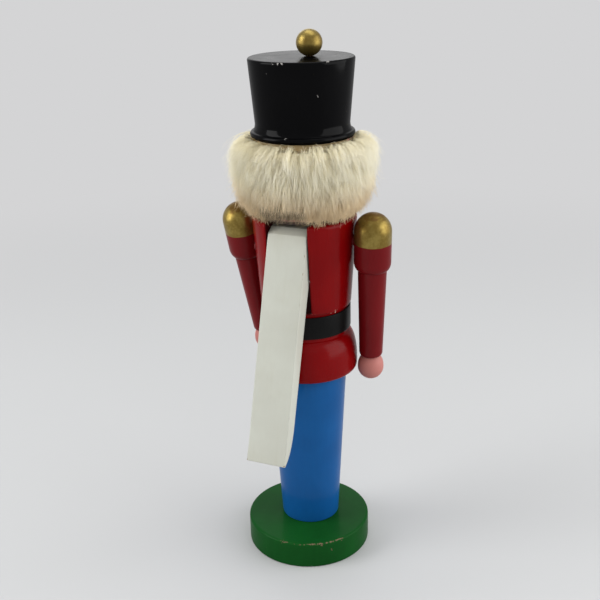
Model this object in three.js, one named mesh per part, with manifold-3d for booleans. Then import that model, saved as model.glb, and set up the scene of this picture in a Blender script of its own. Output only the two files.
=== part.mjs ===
// A wooden nutcracker: a turned soldier with fur hair, a cracking lever down its back and two turning arms.
// Lengths are in millimetres and +Z is up. The figure faces -Y, so the lever's tail is on the +Y side and
// the figure's own left arm is on the +X side. The origin is where the figure's turning axis meets the
// surface that the base stands on.

import * as THREE from 'three';
import { mergeVertices } from 'three/addons/utils/BufferGeometryUtils.js';
import Module from 'manifold-3d';

const wasm = await Module();
wasm.setup();

// Clearances
const GLUE_GAP = 0.3; // between two glued or wrapped faces
const DOWEL_GAP = 0.2; // round a glued dowel
const DOWEL_END_GAP = 0.6; // left at each end of a dowel's hole
const RUN_GAP = 0.3; // round a pin or dowel that turns
const SLOT_GAP = 0.6; // each side of the lever
const JAW_GAP = 0.4; // between the closed jaw and the mouth's roof
const LEVER_HEADROOM = 1.7; // from the lever's rounded shoulder to the underside of the head
const CUT_OVERSHOOT = 1; // how far a cut runs past an open face

// Base
const BASE_RADIUS = 36.1;
const BASE_HEIGHT = 15.7;
const BASE_EDGE = 1.4; // rounding of the upper rim
const BASE_FOOT_EDGE = 0.8; // bevel of the lower rim
const BASE_SETBACK = 3.1; // the disc's centre lies this far behind the figure's axis

// Legs, one tapering column
const LEGS_HEIGHT = 97;
const LEGS_FOOT_RADIUS = 16.9;
const LEGS_TOP_RADIUS = 22.4;

// Torso and skirt, one turning
const HEM_RADIUS = 26.9;
const HEM_EDGE = 3.4; // height over which the hem rounds out to the skirt
const SKIRT_RADIUS = 28.4;
const SKIRT_HEIGHT = 23;
const WAIST_RADIUS = 23.5;
const WAIST_REVEAL = 2.2; // bare waist below and above the belt
const CHEST_HEIGHT = 50;
const CHEST_FOOT_RADIUS = 25.2;
const SHOULDER_RADIUS = 28.6;
const SHOULDER_EDGE = 2.3; // rounding of the shoulder

// Belt
const BELT_HEIGHT = 12.6;
const BELT_THICKNESS = 1.1;

// Head
const HEAD_RADIUS = 24.3;
const HEAD_HEIGHT = 42.3;
const HEAD_EDGE = 0.9; // bevel of the lower rim
const MOUTH_HEIGHT = 9.7;
const NOSE_RADIUS = 4.2;
const NOSE_RISE = 23; // above the head's underside
const NOSE_STEM_RADIUS = 2;
const NOSE_STEM_LENGTH = 7;

// Fur hair on a strip of hide
const HIDE_THICKNESS = 1.2;
const HIDE_MARGIN = 3.2; // bare head above and below the strip
const FUR_DEPTH = 13.4;
const FUR_DROOP = 1.6; // from the torso's top up to the lowest fur
const FUR_RISE = 1.8; // fur standing above the brim's underside
const FUR_BELLY = 26.5; // height of the fullest fur above the head's underside
const FACE_ANGLE = 104; // degrees of the head that the hair leaves bare in front

// Hat
const HAT_HEIGHT = 40.8;
const HAT_FOOT_RADIUS = 25.1;
const HAT_TOP_RADIUS = 27.95;
const HAT_TOP_EDGE = 1.2;
const BRIM_RADIUS = 27.9;
const BRIM_EDGE = 2.1; // height of the brim's rounded edge
const BRIM_HEIGHT = 7;

// Ball on the hat
const BALL_RADIUS = 6.9;
const BALL_SEAT_RADIUS = 1.9;
const BALL_SIDE = 3.9; // towards the figure's right
const BALL_FORWARD = 1.7;

// Lever
const LEVER_WIDTH = 22.4;
const LEVER_BEVEL = 0.5;
const SLOT_FLOOR_RISE = 0.6; // above the bare waist over the belt
const PIVOT_SETBACK = 14; // behind the figure's axis
const PIVOT_DROP = 16.7; // below the torso's top
const PIVOT_RADIUS = 2.5;
const PIVOT_SEAT = 5.5; // length of pin in the blind cheek
const TAIL_OFFSET = 13.6; // from the pivot straight back to the tail's back face
const TAIL_LEAN = 17.2; // degrees out of the vertical
const TAIL_DROP = 106.6; // from the pivot down to the tip
const TAIL_DEPTH = 10.8; // front to back at the pivot
const TIP_DEPTH = 8.9; // front to back where the tip's curve would start from
const TIP_FLAT = 0.9;
const TIP_CURVE = 17; // height of the rounded inner side of the tip
const SHOULDER_ANGLE = 68.4; // degrees above the level, where the rounded shoulder starts
const ELBOW_RADIUS = 8;
const ARM_DEPTH = 24; // of the lever's forward arm, top to underside
const JAW_PROUD = 2.2; // the jaw stands this far out of the face
const JAW_LENGTH = 23.5;
const SCOOP_RADIUS = 10;
const SCOOP_LIFT = 2; // centre of the nut's scoop above the jaw

// Beard, a tuft of fur on a patch of hide glued to the jaw
const BEARD_WIDTH = 19;
const BEARD_DROP = 16;
const BEARD_TOP_DROP = 9.5; // from the top of the jaw down to the beard
const BEARD_DEPTH = 6;

// Arms
const ARM_RADIUS = 10.15;
const ARM_STANDOFF = 0.75; // between the chest and the arm, at the pivot
const ARM_FORWARD = 1.5;
const ARM_PIVOT_DROP = 13; // below the torso's top
const DOME_RISE = 6.25; // from the pivot up to the dome's centre
const CUFF_DROP = 11.2; // from the pivot down to the rounded end of the upper sleeve
const CUFF_EDGE = 4.6; // height of that rounding
const SLEEVE_TOP_RADIUS = 7.95;
const SLEEVE_END_RADIUS = 6.6;
const SLEEVE_DROP = 69;
const SLEEVE_EDGE = 2.2;
const ARM_TILT = 2.4; // degrees that the hand hangs in towards the body
const LEFT_SWING = 15; // degrees that the left hand is swung forward
const RIGHT_SWING = 5;
const HAND_RADIUS = 7.35;
const HAND_LENGTH = 14.8;
const HAND_PEG_RADIUS = 2.6;
const HAND_PEG_LENGTH = 9;

// Dowels
const BASE_DOWEL_RADIUS = 6;
const BASE_DOWEL_DEPTH = 9; // into the base
const LEGS_DOWEL_DEPTH = 14; // into the foot of the legs
const WAIST_DOWEL_RADIUS = 6;
const WAIST_DOWEL_DEPTH = 13; // into each piece
const NECK_DOWEL_RADIUS = 2.6;
const NECK_DOWEL_DEPTH = 7; // into each piece
const HAT_DOWEL_RADIUS = 4;
const HAT_DOWEL_DEPTH = 10; // into each piece
const BALL_PEG_RADIUS = 1.6;
const BALL_PEG_DEPTH = 7; // into each piece
const SHOULDER_DOWEL_RADIUS = 3;
const SHOULDER_DOWEL_DEPTH = 8; // into each piece
const DOWEL_BEVEL = 0.5;

// Facets round a full turn
const WIDE_FACETS = 40;
const ARM_FACETS = 24;
const DOWEL_FACETS = 16;
const CURVE_STEPS = 4; // along each curved stretch of an outline
const TUFT_STEPS = 3; // across the beard's rounded edge

// Fullness of the curves, as shares of the lengths that they span
const SKIRT_FULL = 0.6; // height up to which the skirt holds its radius
const SKIRT_EASE_OUT = 0.7; // how far out the skirt still is near the waist
const SKIRT_EASE_DROP = 0.1; // how far below the waist that is
const FUR_TUCK = 0.1; // rise of the fur's root above its lowest edge
const FUR_LIP = 0.15; // depth of the fur's lowest edge, and rounding of its top
const FUR_UNDER_OUT = 0.65; // fullness of the fur's underside
const FUR_UNDER_RISE = 0.05;
const FUR_SIDE_RISE = 0.45; // where the fur's side turns upright
const FUR_TOP_EASE = 0.6; // where the side starts to round in to the top
const FUR_TOP_IN = 0.48; // how far in the top edge lies
const TIP_FULL = 0.25; // where the tip's curve is drawn out to
const FIST_OUT = 0.6; // fullness of the fist below
const FIST_DROP = 0.28; // fullness of the fist's side
const WRIST_RISE = 0.32; // fullness towards the wrist

// Heights and places that follow
const HEM = BASE_HEIGHT + LEGS_HEIGHT;
const WAIST_FOOT = HEM + SKIRT_HEIGHT;
const BELT_FOOT = WAIST_FOOT + WAIST_REVEAL;
const CHEST_FOOT = BELT_FOOT + BELT_HEIGHT + WAIST_REVEAL;
const TORSO_TOP = CHEST_FOOT + CHEST_HEIGHT;
const HEAD_TOP = TORSO_TOP + HEAD_HEIGHT;
const HAT_TOP = HEAD_TOP + HAT_HEIGHT;
const HIDE_RADIUS = HEAD_RADIUS + GLUE_GAP + HIDE_THICKNESS;
const SLOT_WIDTH = LEVER_WIDTH + 2 * SLOT_GAP;
const SLOT_FLOOR = CHEST_FOOT + SLOT_FLOOR_RISE;
const PIVOT_HEIGHT = TORSO_TOP - PIVOT_DROP;
const MOUTH_ROOF = TORSO_TOP + MOUTH_HEIGHT;
const JAW_TOP = MOUTH_ROOF - JAW_GAP;
const JAW_FRONT = -HEAD_RADIUS - JAW_PROUD;
const JAW_BACK = JAW_FRONT + JAW_LENGTH;
const NECK_DOWEL_SIDE = (SLOT_WIDTH / 2 + HEAD_RADIUS) / 2;
const SHOULDER_HEIGHT = TORSO_TOP - ARM_PIVOT_DROP;
const SHOULDER_SIDE = chestRadius(SHOULDER_HEIGHT) + ARM_STANDOFF + ARM_RADIUS;

// Finishes
const finish = (color, roughness, metalness = 0) =>
  new THREE.MeshStandardMaterial({ color, roughness, metalness });
const GREEN_PAINT = finish(0x1f5c30, 0.42);
const BLUE_PAINT = finish(0x2a6cb0, 0.35);
const RED_LACQUER = finish(0xa81016, 0.2);
const SLEEVE_RED = finish(0x961a20, 0.45);
const BLACK_LACQUER = finish(0x111113, 0.18);
const BLACK_BELT = finish(0x141311, 0.45);
const SKIN_PAINT = finish(0xd99a90, 0.6);
const GOLD_PAINT = finish(0x9c8443, 0.38, 0.8);
const WHITE_PAINT = finish(0xdedccd, 0.45);
const FUR = finish(0xd9d4b9, 0.95);
const HIDE = finish(0xcdbfa2, 0.9);
const BARE_WOOD = finish(0xc9a878, 0.8);

// A closed three.js geometry as a solid that can be joined and cut.
function solid(geometry) {
  const bare = geometry.index ? geometry.toNonIndexed() : geometry.clone();
  bare.deleteAttribute('normal');
  bare.deleteAttribute('uv');
  const merged = mergeVertices(bare, 1e-4);
  const corners = merged.index.array;
  const kept = [];
  for (let i = 0; i < corners.length; i += 3) {
    const [a, b, c] = corners.slice(i, i + 3);
    if (a !== b && b !== c && c !== a) kept.push(a, b, c);
  }
  const vertProperties = merged.attributes.position.array;
  const make = (triVerts) => new wasm.Manifold(new wasm.Mesh({ numProp: 3, vertProperties, triVerts }));
  const made = make(new Uint32Array(kept));
  // A profile drawn the other way round gives inward faces, so its triangles are turned over.
  return made.volume() > 0 ? made : make(new Uint32Array(kept.reverse()));
}

// A solid as a named mesh of the scene.
function piece(name, shape, material) {
  const { vertProperties, triVerts } = shape.getMesh();
  const geometry = new THREE.BufferGeometry();
  geometry.setAttribute('position', new THREE.BufferAttribute(vertProperties, 3));
  geometry.setIndex(new THREE.BufferAttribute(triVerts, 1));
  geometry.computeVertexNormals();
  const mesh = new THREE.Mesh(geometry, material);
  mesh.name = name;
  return mesh;
}

// An outline of radius and height, turned about Z.
function turned(outline, facets) {
  const geometry = new THREE.LatheGeometry(outline.getPoints(CURVE_STEPS), facets);
  return geometry.rotateX(Math.PI / 2);
}

// An outline through straight corners, given as pairs.
function straight(corners) {
  const outline = new THREE.Path();
  outline.moveTo(...corners[0]);
  for (const corner of corners.slice(1)) outline.lineTo(...corner);
  return outline;
}

// A round rod with bevelled ends, standing on Z from foot to top.
function rod(radius, foot, top) {
  const bevel = Math.min(DOWEL_BEVEL, radius / 2, (top - foot) / 3);
  return turned(
    straight([
      [0, foot],
      [radius - bevel, foot],
      [radius, foot + bevel],
      [radius, top - bevel],
      [radius - bevel, top],
      [0, top],
    ]),
    DOWEL_FACETS,
  );
}

// A plain round cutter along Z.
function bore(radius, foot, top) {
  return turned(straight([[0, foot], [radius, foot], [radius, top], [0, top]]), DOWEL_FACETS);
}

// Turns a rod or cutter on Z to lie along X, low end first.
const alongX = (geometry) => geometry.rotateY(Math.PI / 2);

// A block between two corners.
function block(low, high) {
  const size = new THREE.Vector3().subVectors(high, low);
  const middle = new THREE.Vector3().addVectors(low, high).multiplyScalar(0.5);
  return new THREE.BoxGeometry(size.x, size.y, size.z).translate(middle.x, middle.y, middle.z);
}

// Radius of the chest at a height, from its foot up to the shoulder.
function chestRadius(height) {
  const share = (height - CHEST_FOOT) / (TORSO_TOP - SHOULDER_EDGE - CHEST_FOOT);
  return CHEST_FOOT_RADIUS + (SHOULDER_RADIUS - CHEST_FOOT_RADIUS) * share;
}

// The green disc, with a blind hole on the figure's axis, and the dowel that stands in it.
function makeBase() {
  const rim = BASE_RADIUS - BASE_EDGE;
  const outline = new THREE.Path();
  outline.moveTo(0, 0);
  outline.lineTo(BASE_RADIUS - BASE_FOOT_EDGE, 0);
  outline.lineTo(BASE_RADIUS, BASE_FOOT_EDGE);
  outline.lineTo(BASE_RADIUS, BASE_HEIGHT - BASE_EDGE);
  outline.absarc(rim, BASE_HEIGHT - BASE_EDGE, BASE_EDGE, 0, Math.PI / 2, false);
  outline.lineTo(0, BASE_HEIGHT);
  const disc = solid(turned(outline, WIDE_FACETS).translate(0, BASE_SETBACK, 0));
  const hole = bore(
    BASE_DOWEL_RADIUS + DOWEL_GAP,
    BASE_HEIGHT - BASE_DOWEL_DEPTH,
    BASE_HEIGHT + CUT_OVERSHOOT,
  );
  const dowel = rod(
    BASE_DOWEL_RADIUS,
    BASE_HEIGHT - BASE_DOWEL_DEPTH + DOWEL_END_GAP,
    BASE_HEIGHT + LEGS_DOWEL_DEPTH - DOWEL_END_GAP,
  );
  return [
    piece('base_disc', disc.subtract(solid(hole)), GREEN_PAINT),
    piece('base_dowel', solid(dowel), BARE_WOOD),
  ];
}

// The blue column that stands for both legs, drilled at both ends, and the dowel into the torso.
function makeLegs() {
  const footHole = BASE_DOWEL_RADIUS + DOWEL_GAP;
  const topHole = WAIST_DOWEL_RADIUS + DOWEL_GAP;
  const column = straight([
    [0, BASE_HEIGHT + LEGS_DOWEL_DEPTH],
    [footHole, BASE_HEIGHT + LEGS_DOWEL_DEPTH],
    [footHole, BASE_HEIGHT],
    [LEGS_FOOT_RADIUS, BASE_HEIGHT],
    [LEGS_TOP_RADIUS, HEM],
    [topHole, HEM],
    [topHole, HEM - WAIST_DOWEL_DEPTH],
    [0, HEM - WAIST_DOWEL_DEPTH],
  ]);
  const dowel = rod(
    WAIST_DOWEL_RADIUS,
    HEM - WAIST_DOWEL_DEPTH + DOWEL_END_GAP,
    HEM + WAIST_DOWEL_DEPTH - DOWEL_END_GAP,
  );
  return [
    piece('legs_column', solid(turned(column, WIDE_FACETS)), BLUE_PAINT),
    piece('waist_dowel', solid(dowel), BARE_WOOD),
  ];
}

// The red torso with its bell skirt, sawn through from front to back for the lever.
function makeTorso() {
  const waistHole = WAIST_DOWEL_RADIUS + DOWEL_GAP;
  const edgeFoot = TORSO_TOP - SHOULDER_EDGE;
  const outline = new THREE.Path();
  outline.moveTo(0, HEM + WAIST_DOWEL_DEPTH);
  outline.lineTo(waistHole, HEM + WAIST_DOWEL_DEPTH);
  outline.lineTo(waistHole, HEM);
  outline.lineTo(HEM_RADIUS, HEM);
  outline.quadraticCurveTo(SKIRT_RADIUS, HEM, SKIRT_RADIUS, HEM + HEM_EDGE);
  outline.bezierCurveTo(
    SKIRT_RADIUS, HEM + SKIRT_FULL * SKIRT_HEIGHT,
    WAIST_RADIUS + SKIRT_EASE_OUT * (SKIRT_RADIUS - WAIST_RADIUS), WAIST_FOOT - SKIRT_EASE_DROP * SKIRT_HEIGHT,
    WAIST_RADIUS, WAIST_FOOT,
  );
  outline.lineTo(WAIST_RADIUS, CHEST_FOOT);
  outline.lineTo(CHEST_FOOT_RADIUS, CHEST_FOOT);
  outline.lineTo(SHOULDER_RADIUS, edgeFoot);
  outline.quadraticCurveTo(SHOULDER_RADIUS, TORSO_TOP, SHOULDER_RADIUS - SHOULDER_EDGE, TORSO_TOP);
  outline.lineTo(0, TORSO_TOP);

  const reach = 2 * SKIRT_RADIUS;
  const slot = block(
    new THREE.Vector3(-SLOT_WIDTH / 2, -reach, SLOT_FLOOR),
    new THREE.Vector3(SLOT_WIDTH / 2, reach, TORSO_TOP + CUT_OVERSHOOT),
  );
  let torso = solid(turned(outline, WIDE_FACETS)).subtract(solid(slot));

  // The pin goes in from the figure's left and stops blind in the right cheek.
  const pinBlind = -SLOT_WIDTH / 2 - PIVOT_SEAT;
  const pinEnd = Math.sqrt(chestRadius(PIVOT_HEIGHT) ** 2 - PIVOT_SETBACK ** 2) - GLUE_GAP;
  const pinHole = alongX(bore(PIVOT_RADIUS + DOWEL_GAP, pinBlind - DOWEL_END_GAP, reach));
  torso = torso.subtract(solid(pinHole.translate(0, PIVOT_SETBACK, PIVOT_HEIGHT)));
  const pin = alongX(rod(PIVOT_RADIUS, pinBlind, pinEnd)).translate(0, PIVOT_SETBACK, PIVOT_HEIGHT);

  for (const side of [1, -1]) {
    const neckHole = bore(
      NECK_DOWEL_RADIUS + DOWEL_GAP,
      TORSO_TOP - NECK_DOWEL_DEPTH,
      TORSO_TOP + CUT_OVERSHOOT,
    );
    torso = torso.subtract(solid(neckHole.translate(side * NECK_DOWEL_SIDE, 0, 0)));
    const shoulderHole = bore(
      SHOULDER_DOWEL_RADIUS + RUN_GAP,
      chestRadius(SHOULDER_HEIGHT) - SHOULDER_DOWEL_DEPTH - DOWEL_END_GAP,
      reach,
    ).rotateY((side * Math.PI) / 2);
    torso = torso.subtract(solid(shoulderHole.translate(0, -ARM_FORWARD, SHOULDER_HEIGHT)));
  }
  return [
    piece('torso', torso, RED_LACQUER),
    piece('pivot_pin', solid(pin), BARE_WOOD),
  ];
}

// The black strip wrapped round the waist.
function makeBelt() {
  const inner = WAIST_RADIUS + GLUE_GAP;
  const outer = inner + BELT_THICKNESS;
  const ring = straight([
    [inner, BELT_FOOT],
    [outer, BELT_FOOT],
    [outer, BELT_FOOT + BELT_HEIGHT],
    [inner, BELT_FOOT + BELT_HEIGHT],
    [inner, BELT_FOOT],
  ]);
  return [piece('belt', solid(turned(ring, WIDE_FACETS)), BLACK_BELT)];
}

// The head, open below in front for the jaw, its nose, and the two dowels that hold it on the torso's cheeks.
function makeHead() {
  const hatHole = HAT_DOWEL_RADIUS + DOWEL_GAP;
  const outline = straight([
    [0, TORSO_TOP],
    [HEAD_RADIUS - HEAD_EDGE, TORSO_TOP],
    [HEAD_RADIUS, TORSO_TOP + HEAD_EDGE],
    [HEAD_RADIUS, HEAD_TOP],
    [hatHole, HEAD_TOP],
    [hatHole, HEAD_TOP - HAT_DOWEL_DEPTH],
    [0, HEAD_TOP - HAT_DOWEL_DEPTH],
  ]);
  const mouth = block(
    new THREE.Vector3(-SLOT_WIDTH / 2, -2 * HEAD_RADIUS, TORSO_TOP - CUT_OVERSHOOT),
    new THREE.Vector3(SLOT_WIDTH / 2, JAW_BACK + SLOT_GAP, MOUTH_ROOF),
  );
  let head = solid(turned(outline, WIDE_FACETS)).subtract(solid(mouth));

  const noseHeight = TORSO_TOP + NOSE_RISE;
  const faceForward = (geometry) => geometry.rotateX(Math.PI / 2).translate(0, 0, noseHeight);
  const stemFoot = HEAD_RADIUS - NOSE_STEM_LENGTH;
  const stemHole = bore(NOSE_STEM_RADIUS + DOWEL_GAP, stemFoot - DOWEL_END_GAP, 2 * HEAD_RADIUS);
  head = head.subtract(solid(faceForward(stemHole)));
  const noseFoot = HEAD_RADIUS + GLUE_GAP;
  const nose = new THREE.Path();
  nose.moveTo(0, stemFoot);
  nose.lineTo(NOSE_STEM_RADIUS, stemFoot);
  nose.lineTo(NOSE_STEM_RADIUS, noseFoot);
  nose.lineTo(NOSE_RADIUS, noseFoot);
  nose.absarc(0, noseFoot, NOSE_RADIUS, 0, Math.PI / 2, false);
  const pieces = [piece('nose', solid(faceForward(turned(nose, DOWEL_FACETS))), SKIN_PAINT)];

  for (const side of [1, -1]) {
    const hole = bore(
      NECK_DOWEL_RADIUS + DOWEL_GAP,
      TORSO_TOP - CUT_OVERSHOOT,
      TORSO_TOP + NECK_DOWEL_DEPTH,
    );
    head = head.subtract(solid(hole.translate(side * NECK_DOWEL_SIDE, 0, 0)));
    const reach = NECK_DOWEL_DEPTH - DOWEL_END_GAP;
    const dowel = rod(NECK_DOWEL_RADIUS, TORSO_TOP - reach, TORSO_TOP + reach);
    const name = side > 0 ? 'neck_dowel_left' : 'neck_dowel_right';
    pieces.push(piece(name, solid(dowel.translate(side * NECK_DOWEL_SIDE, 0, 0)), BARE_WOOD));
  }
  return [piece('head', head, SKIN_PAINT), ...pieces];
}

// The part of a turning that lies in front of the face, as a wedge to cut away.
function faceWedge(radius) {
  const half = THREE.MathUtils.degToRad(FACE_ANGLE / 2);
  const front = -Math.PI / 2;
  const sector = new THREE.Shape();
  sector.moveTo(0, 0);
  sector.lineTo(-radius * Math.sin(half), -radius * Math.cos(half));
  sector.absarc(0, 0, radius, front - half, front + half, false);
  sector.closePath();
  const wedge = new THREE.ExtrudeGeometry(sector, { depth: 2 * HEAD_HEIGHT, bevelEnabled: false });
  return solid(wedge.translate(0, 0, TORSO_TOP - HEAD_HEIGHT / 2));
}

// The strip of hide glued round the back of the head, and the fur that stands out of it.
function makeHair() {
  const inner = HEAD_RADIUS + GLUE_GAP;
  const hideFoot = TORSO_TOP + HIDE_MARGIN;
  const hideTop = HEAD_TOP - HIDE_MARGIN;
  const strip = straight([
    [inner, hideFoot],
    [HIDE_RADIUS, hideFoot],
    [HIDE_RADIUS, hideTop],
    [inner, hideTop],
    [inner, hideFoot],
  ]);
  const root = HIDE_RADIUS + GLUE_GAP;
  const outer = root + FUR_DEPTH;
  const furFoot = TORSO_TOP + FUR_DROOP;
  const furTop = HEAD_TOP + FUR_RISE;
  const belly = TORSO_TOP + FUR_BELLY;
  const underBrim = HEAD_TOP - GLUE_GAP;
  const besideBrim = Math.max(root, BRIM_RADIUS) + 2 * GLUE_GAP;
  const coat = new THREE.Path();
  coat.moveTo(root, furFoot + FUR_TUCK * FUR_DEPTH);
  coat.lineTo(root + FUR_LIP * FUR_DEPTH, furFoot);
  coat.bezierCurveTo(
    root + FUR_UNDER_OUT * FUR_DEPTH, furFoot + FUR_UNDER_RISE * FUR_BELLY,
    outer, furFoot + FUR_SIDE_RISE * FUR_BELLY,
    outer, belly,
  );
  coat.bezierCurveTo(
    outer, belly + FUR_TOP_EASE * (furTop - belly),
    outer - FUR_LIP * FUR_DEPTH, furTop,
    outer - FUR_TOP_IN * FUR_DEPTH, furTop,
  );
  coat.lineTo(besideBrim, underBrim);
  coat.lineTo(root, underBrim);
  coat.closePath();
  const wedge = faceWedge(2 * outer);
  return [
    piece('hair_hide', solid(turned(strip, WIDE_FACETS)).subtract(wedge), HIDE),
    piece('hair_fur', solid(turned(coat, WIDE_FACETS)).subtract(wedge), FUR),
  ];
}

// The tall hat with its coved brim, the dowel under it, and the ball pegged to the top off the middle.
function makeHat() {
  const hatHole = HAT_DOWEL_RADIUS + DOWEL_GAP;
  const edgeTop = HEAD_TOP + BRIM_EDGE;
  const coveTop = HEAD_TOP + BRIM_HEIGHT;
  const outline = new THREE.Path();
  outline.moveTo(0, HEAD_TOP + HAT_DOWEL_DEPTH);
  outline.lineTo(hatHole, HEAD_TOP + HAT_DOWEL_DEPTH);
  outline.lineTo(hatHole, HEAD_TOP);
  outline.lineTo(BRIM_RADIUS - BRIM_EDGE, HEAD_TOP);
  outline.quadraticCurveTo(BRIM_RADIUS, HEAD_TOP, BRIM_RADIUS, edgeTop);
  outline.quadraticCurveTo(HAT_FOOT_RADIUS, edgeTop, HAT_FOOT_RADIUS, coveTop);
  outline.lineTo(HAT_TOP_RADIUS, HAT_TOP - HAT_TOP_EDGE);
  outline.quadraticCurveTo(HAT_TOP_RADIUS, HAT_TOP, HAT_TOP_RADIUS - HAT_TOP_EDGE, HAT_TOP);
  outline.lineTo(0, HAT_TOP);

  const toBall = (geometry) => geometry.translate(-BALL_SIDE, -BALL_FORWARD, 0);
  const ballHole = BALL_PEG_RADIUS + DOWEL_GAP;
  const pegHole = toBall(bore(ballHole, HAT_TOP - BALL_PEG_DEPTH, HAT_TOP + CUT_OVERSHOOT));
  const hat = solid(turned(outline, WIDE_FACETS)).subtract(solid(pegHole));

  const seatAngle = Math.asin(Math.max(BALL_SEAT_RADIUS, ballHole + DOWEL_GAP) / BALL_RADIUS);
  const ballCentre = HAT_TOP + BALL_RADIUS * Math.cos(seatAngle);
  const bead = new THREE.Path();
  bead.moveTo(0, HAT_TOP + BALL_PEG_DEPTH);
  bead.lineTo(ballHole, HAT_TOP + BALL_PEG_DEPTH);
  bead.lineTo(ballHole, HAT_TOP);
  bead.absarc(0, ballCentre, BALL_RADIUS, seatAngle - Math.PI / 2, Math.PI / 2, false);
  const pegReach = BALL_PEG_DEPTH - DOWEL_END_GAP;
  const hatReach = HAT_DOWEL_DEPTH - DOWEL_END_GAP;
  return [
    piece('hat', hat, BLACK_LACQUER),
    piece('hat_dowel', solid(rod(HAT_DOWEL_RADIUS, HEAD_TOP - hatReach, HEAD_TOP + hatReach)), BARE_WOOD),
    piece('hat_ball', solid(toBall(turned(bead, ARM_FACETS))), GOLD_PAINT),
    piece('hat_ball_peg', solid(toBall(rod(BALL_PEG_RADIUS, HAT_TOP - pegReach, HAT_TOP + pegReach))), BARE_WOOD),
  ];
}

// The side outline of the lever, front to back and up: jaw, forward arm, rounded shoulder and leaning tail.
function leverOutline() {
  const lean = Math.tan(THREE.MathUtils.degToRad(TAIL_LEAN));
  const tip = PIVOT_HEIGHT - TAIL_DROP;
  const backFace = (height) => PIVOT_SETBACK + TAIL_OFFSET + (PIVOT_HEIGHT - height) * lean;
  const innerFace = (height) => {
    const share = (PIVOT_HEIGHT - height) / TAIL_DROP;
    return backFace(height) - TAIL_DEPTH - (TIP_DEPTH - TAIL_DEPTH) * share;
  };
  // The shoulder is rounded about the pin, so it passes under the head as the tail lifts.
  const swing = PIVOT_DROP - LEVER_HEADROOM;
  const startAngle = THREE.MathUtils.degToRad(SHOULDER_ANGLE);
  const armTop = PIVOT_HEIGHT + swing * Math.sin(startAngle);
  const leanAngle = THREE.MathUtils.degToRad(TAIL_LEAN);
  const endAngle = leanAngle + Math.acos(Math.min(1, (TAIL_OFFSET * Math.cos(leanAngle)) / swing));
  const armFoot = armTop - ARM_DEPTH;

  const outline = new THREE.Shape();
  outline.moveTo(JAW_FRONT, armFoot);
  outline.lineTo(JAW_FRONT, JAW_TOP);
  outline.lineTo(JAW_BACK, JAW_TOP);
  outline.lineTo(JAW_BACK, armTop);
  outline.absarc(PIVOT_SETBACK, PIVOT_HEIGHT, swing, startAngle, endAngle, true);
  outline.lineTo(backFace(tip), tip);
  outline.lineTo(backFace(tip) - TIP_FLAT, tip);
  const curveFoot = tip + TIP_FULL * TIP_CURVE;
  const curveTop = tip + TIP_CURVE;
  outline.quadraticCurveTo(innerFace(curveFoot), curveFoot, innerFace(curveTop), curveTop);
  outline.lineTo(innerFace(armFoot - ELBOW_RADIUS), armFoot - ELBOW_RADIUS);
  outline.quadraticCurveTo(innerFace(armFoot), armFoot, innerFace(armFoot) - ELBOW_RADIUS, armFoot);
  outline.closePath();
  return outline;
}

// The white lever, sawn from one board, with a scoop for the nut, and the beard on its jaw.
function makeLever() {
  const board = new THREE.ExtrudeGeometry(leverOutline(), {
    depth: LEVER_WIDTH - 2 * LEVER_BEVEL,
    curveSegments: CURVE_STEPS,
    bevelThickness: LEVER_BEVEL,
    bevelSize: LEVER_BEVEL,
    bevelOffset: -LEVER_BEVEL,
    bevelSegments: 1,
  });
  const sideways = new THREE.Matrix4().makeBasis(
    new THREE.Vector3(0, 1, 0),
    new THREE.Vector3(0, 0, 1),
    new THREE.Vector3(1, 0, 0),
  );
  board.translate(0, 0, LEVER_BEVEL - LEVER_WIDTH / 2).applyMatrix4(sideways);
  const pinHole = alongX(bore(PIVOT_RADIUS + RUN_GAP, -LEVER_WIDTH, LEVER_WIDTH));
  const scoop = new THREE.SphereGeometry(SCOOP_RADIUS, DOWEL_FACETS, DOWEL_FACETS / 2);
  scoop.rotateX(Math.PI / 2).translate(0, (JAW_FRONT + JAW_BACK) / 2, JAW_TOP + SCOOP_LIFT);
  const lever = solid(board)
    .subtract(solid(pinHole.translate(0, PIVOT_SETBACK, PIVOT_HEIGHT)))
    .subtract(solid(scoop));
  return [piece('lever', lever, WHITE_PAINT), ...makeBeard()];
}

// A bib-shaped outline, straight above and round below, with its top edge on the X axis.
function bib(width, drop) {
  const half = width / 2;
  const outline = new THREE.Shape();
  outline.moveTo(-half, 0);
  outline.lineTo(-half, half - drop);
  outline.absarc(0, half - drop, half, Math.PI, 2 * Math.PI, false);
  outline.lineTo(half, 0);
  outline.closePath();
  return outline;
}

// The patch of hide on the jaw and the tuft that stands out of it.
function makeBeard() {
  const top = JAW_TOP - BEARD_TOP_DROP;
  const hideBack = JAW_FRONT - GLUE_GAP;
  const furBack = hideBack - HIDE_THICKNESS - GLUE_GAP;
  const round = BEARD_DEPTH / 2;
  // The extrusion runs along +Z, and is turned to run forward along -Y with its outline upright.
  const onJaw = (geometry, back) => geometry.rotateX(Math.PI / 2).translate(0, back, top);
  const patch = new THREE.ExtrudeGeometry(bib(BEARD_WIDTH - 2 * round, BEARD_DROP - 2 * round), {
    depth: HIDE_THICKNESS,
    curveSegments: CURVE_STEPS,
    bevelEnabled: false,
  });
  const tuft = new THREE.ExtrudeGeometry(bib(BEARD_WIDTH, BEARD_DROP), {
    depth: BEARD_DEPTH - round,
    curveSegments: CURVE_STEPS,
    bevelThickness: round,
    bevelSize: round,
    bevelOffset: -round,
    bevelSegments: TUFT_STEPS,
  });
  const frontOnly = block(
    new THREE.Vector3(-BEARD_WIDTH, furBack - 2 * BEARD_DEPTH, top - 2 * BEARD_DROP),
    new THREE.Vector3(BEARD_WIDTH, furBack, top + BEARD_DROP),
  );
  return [
    piece('beard_hide', solid(onJaw(patch, hideBack)), HIDE),
    piece('beard_fur', solid(onJaw(tuft, furBack)).intersect(solid(frontOnly)), FUR),
  ];
}

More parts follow.
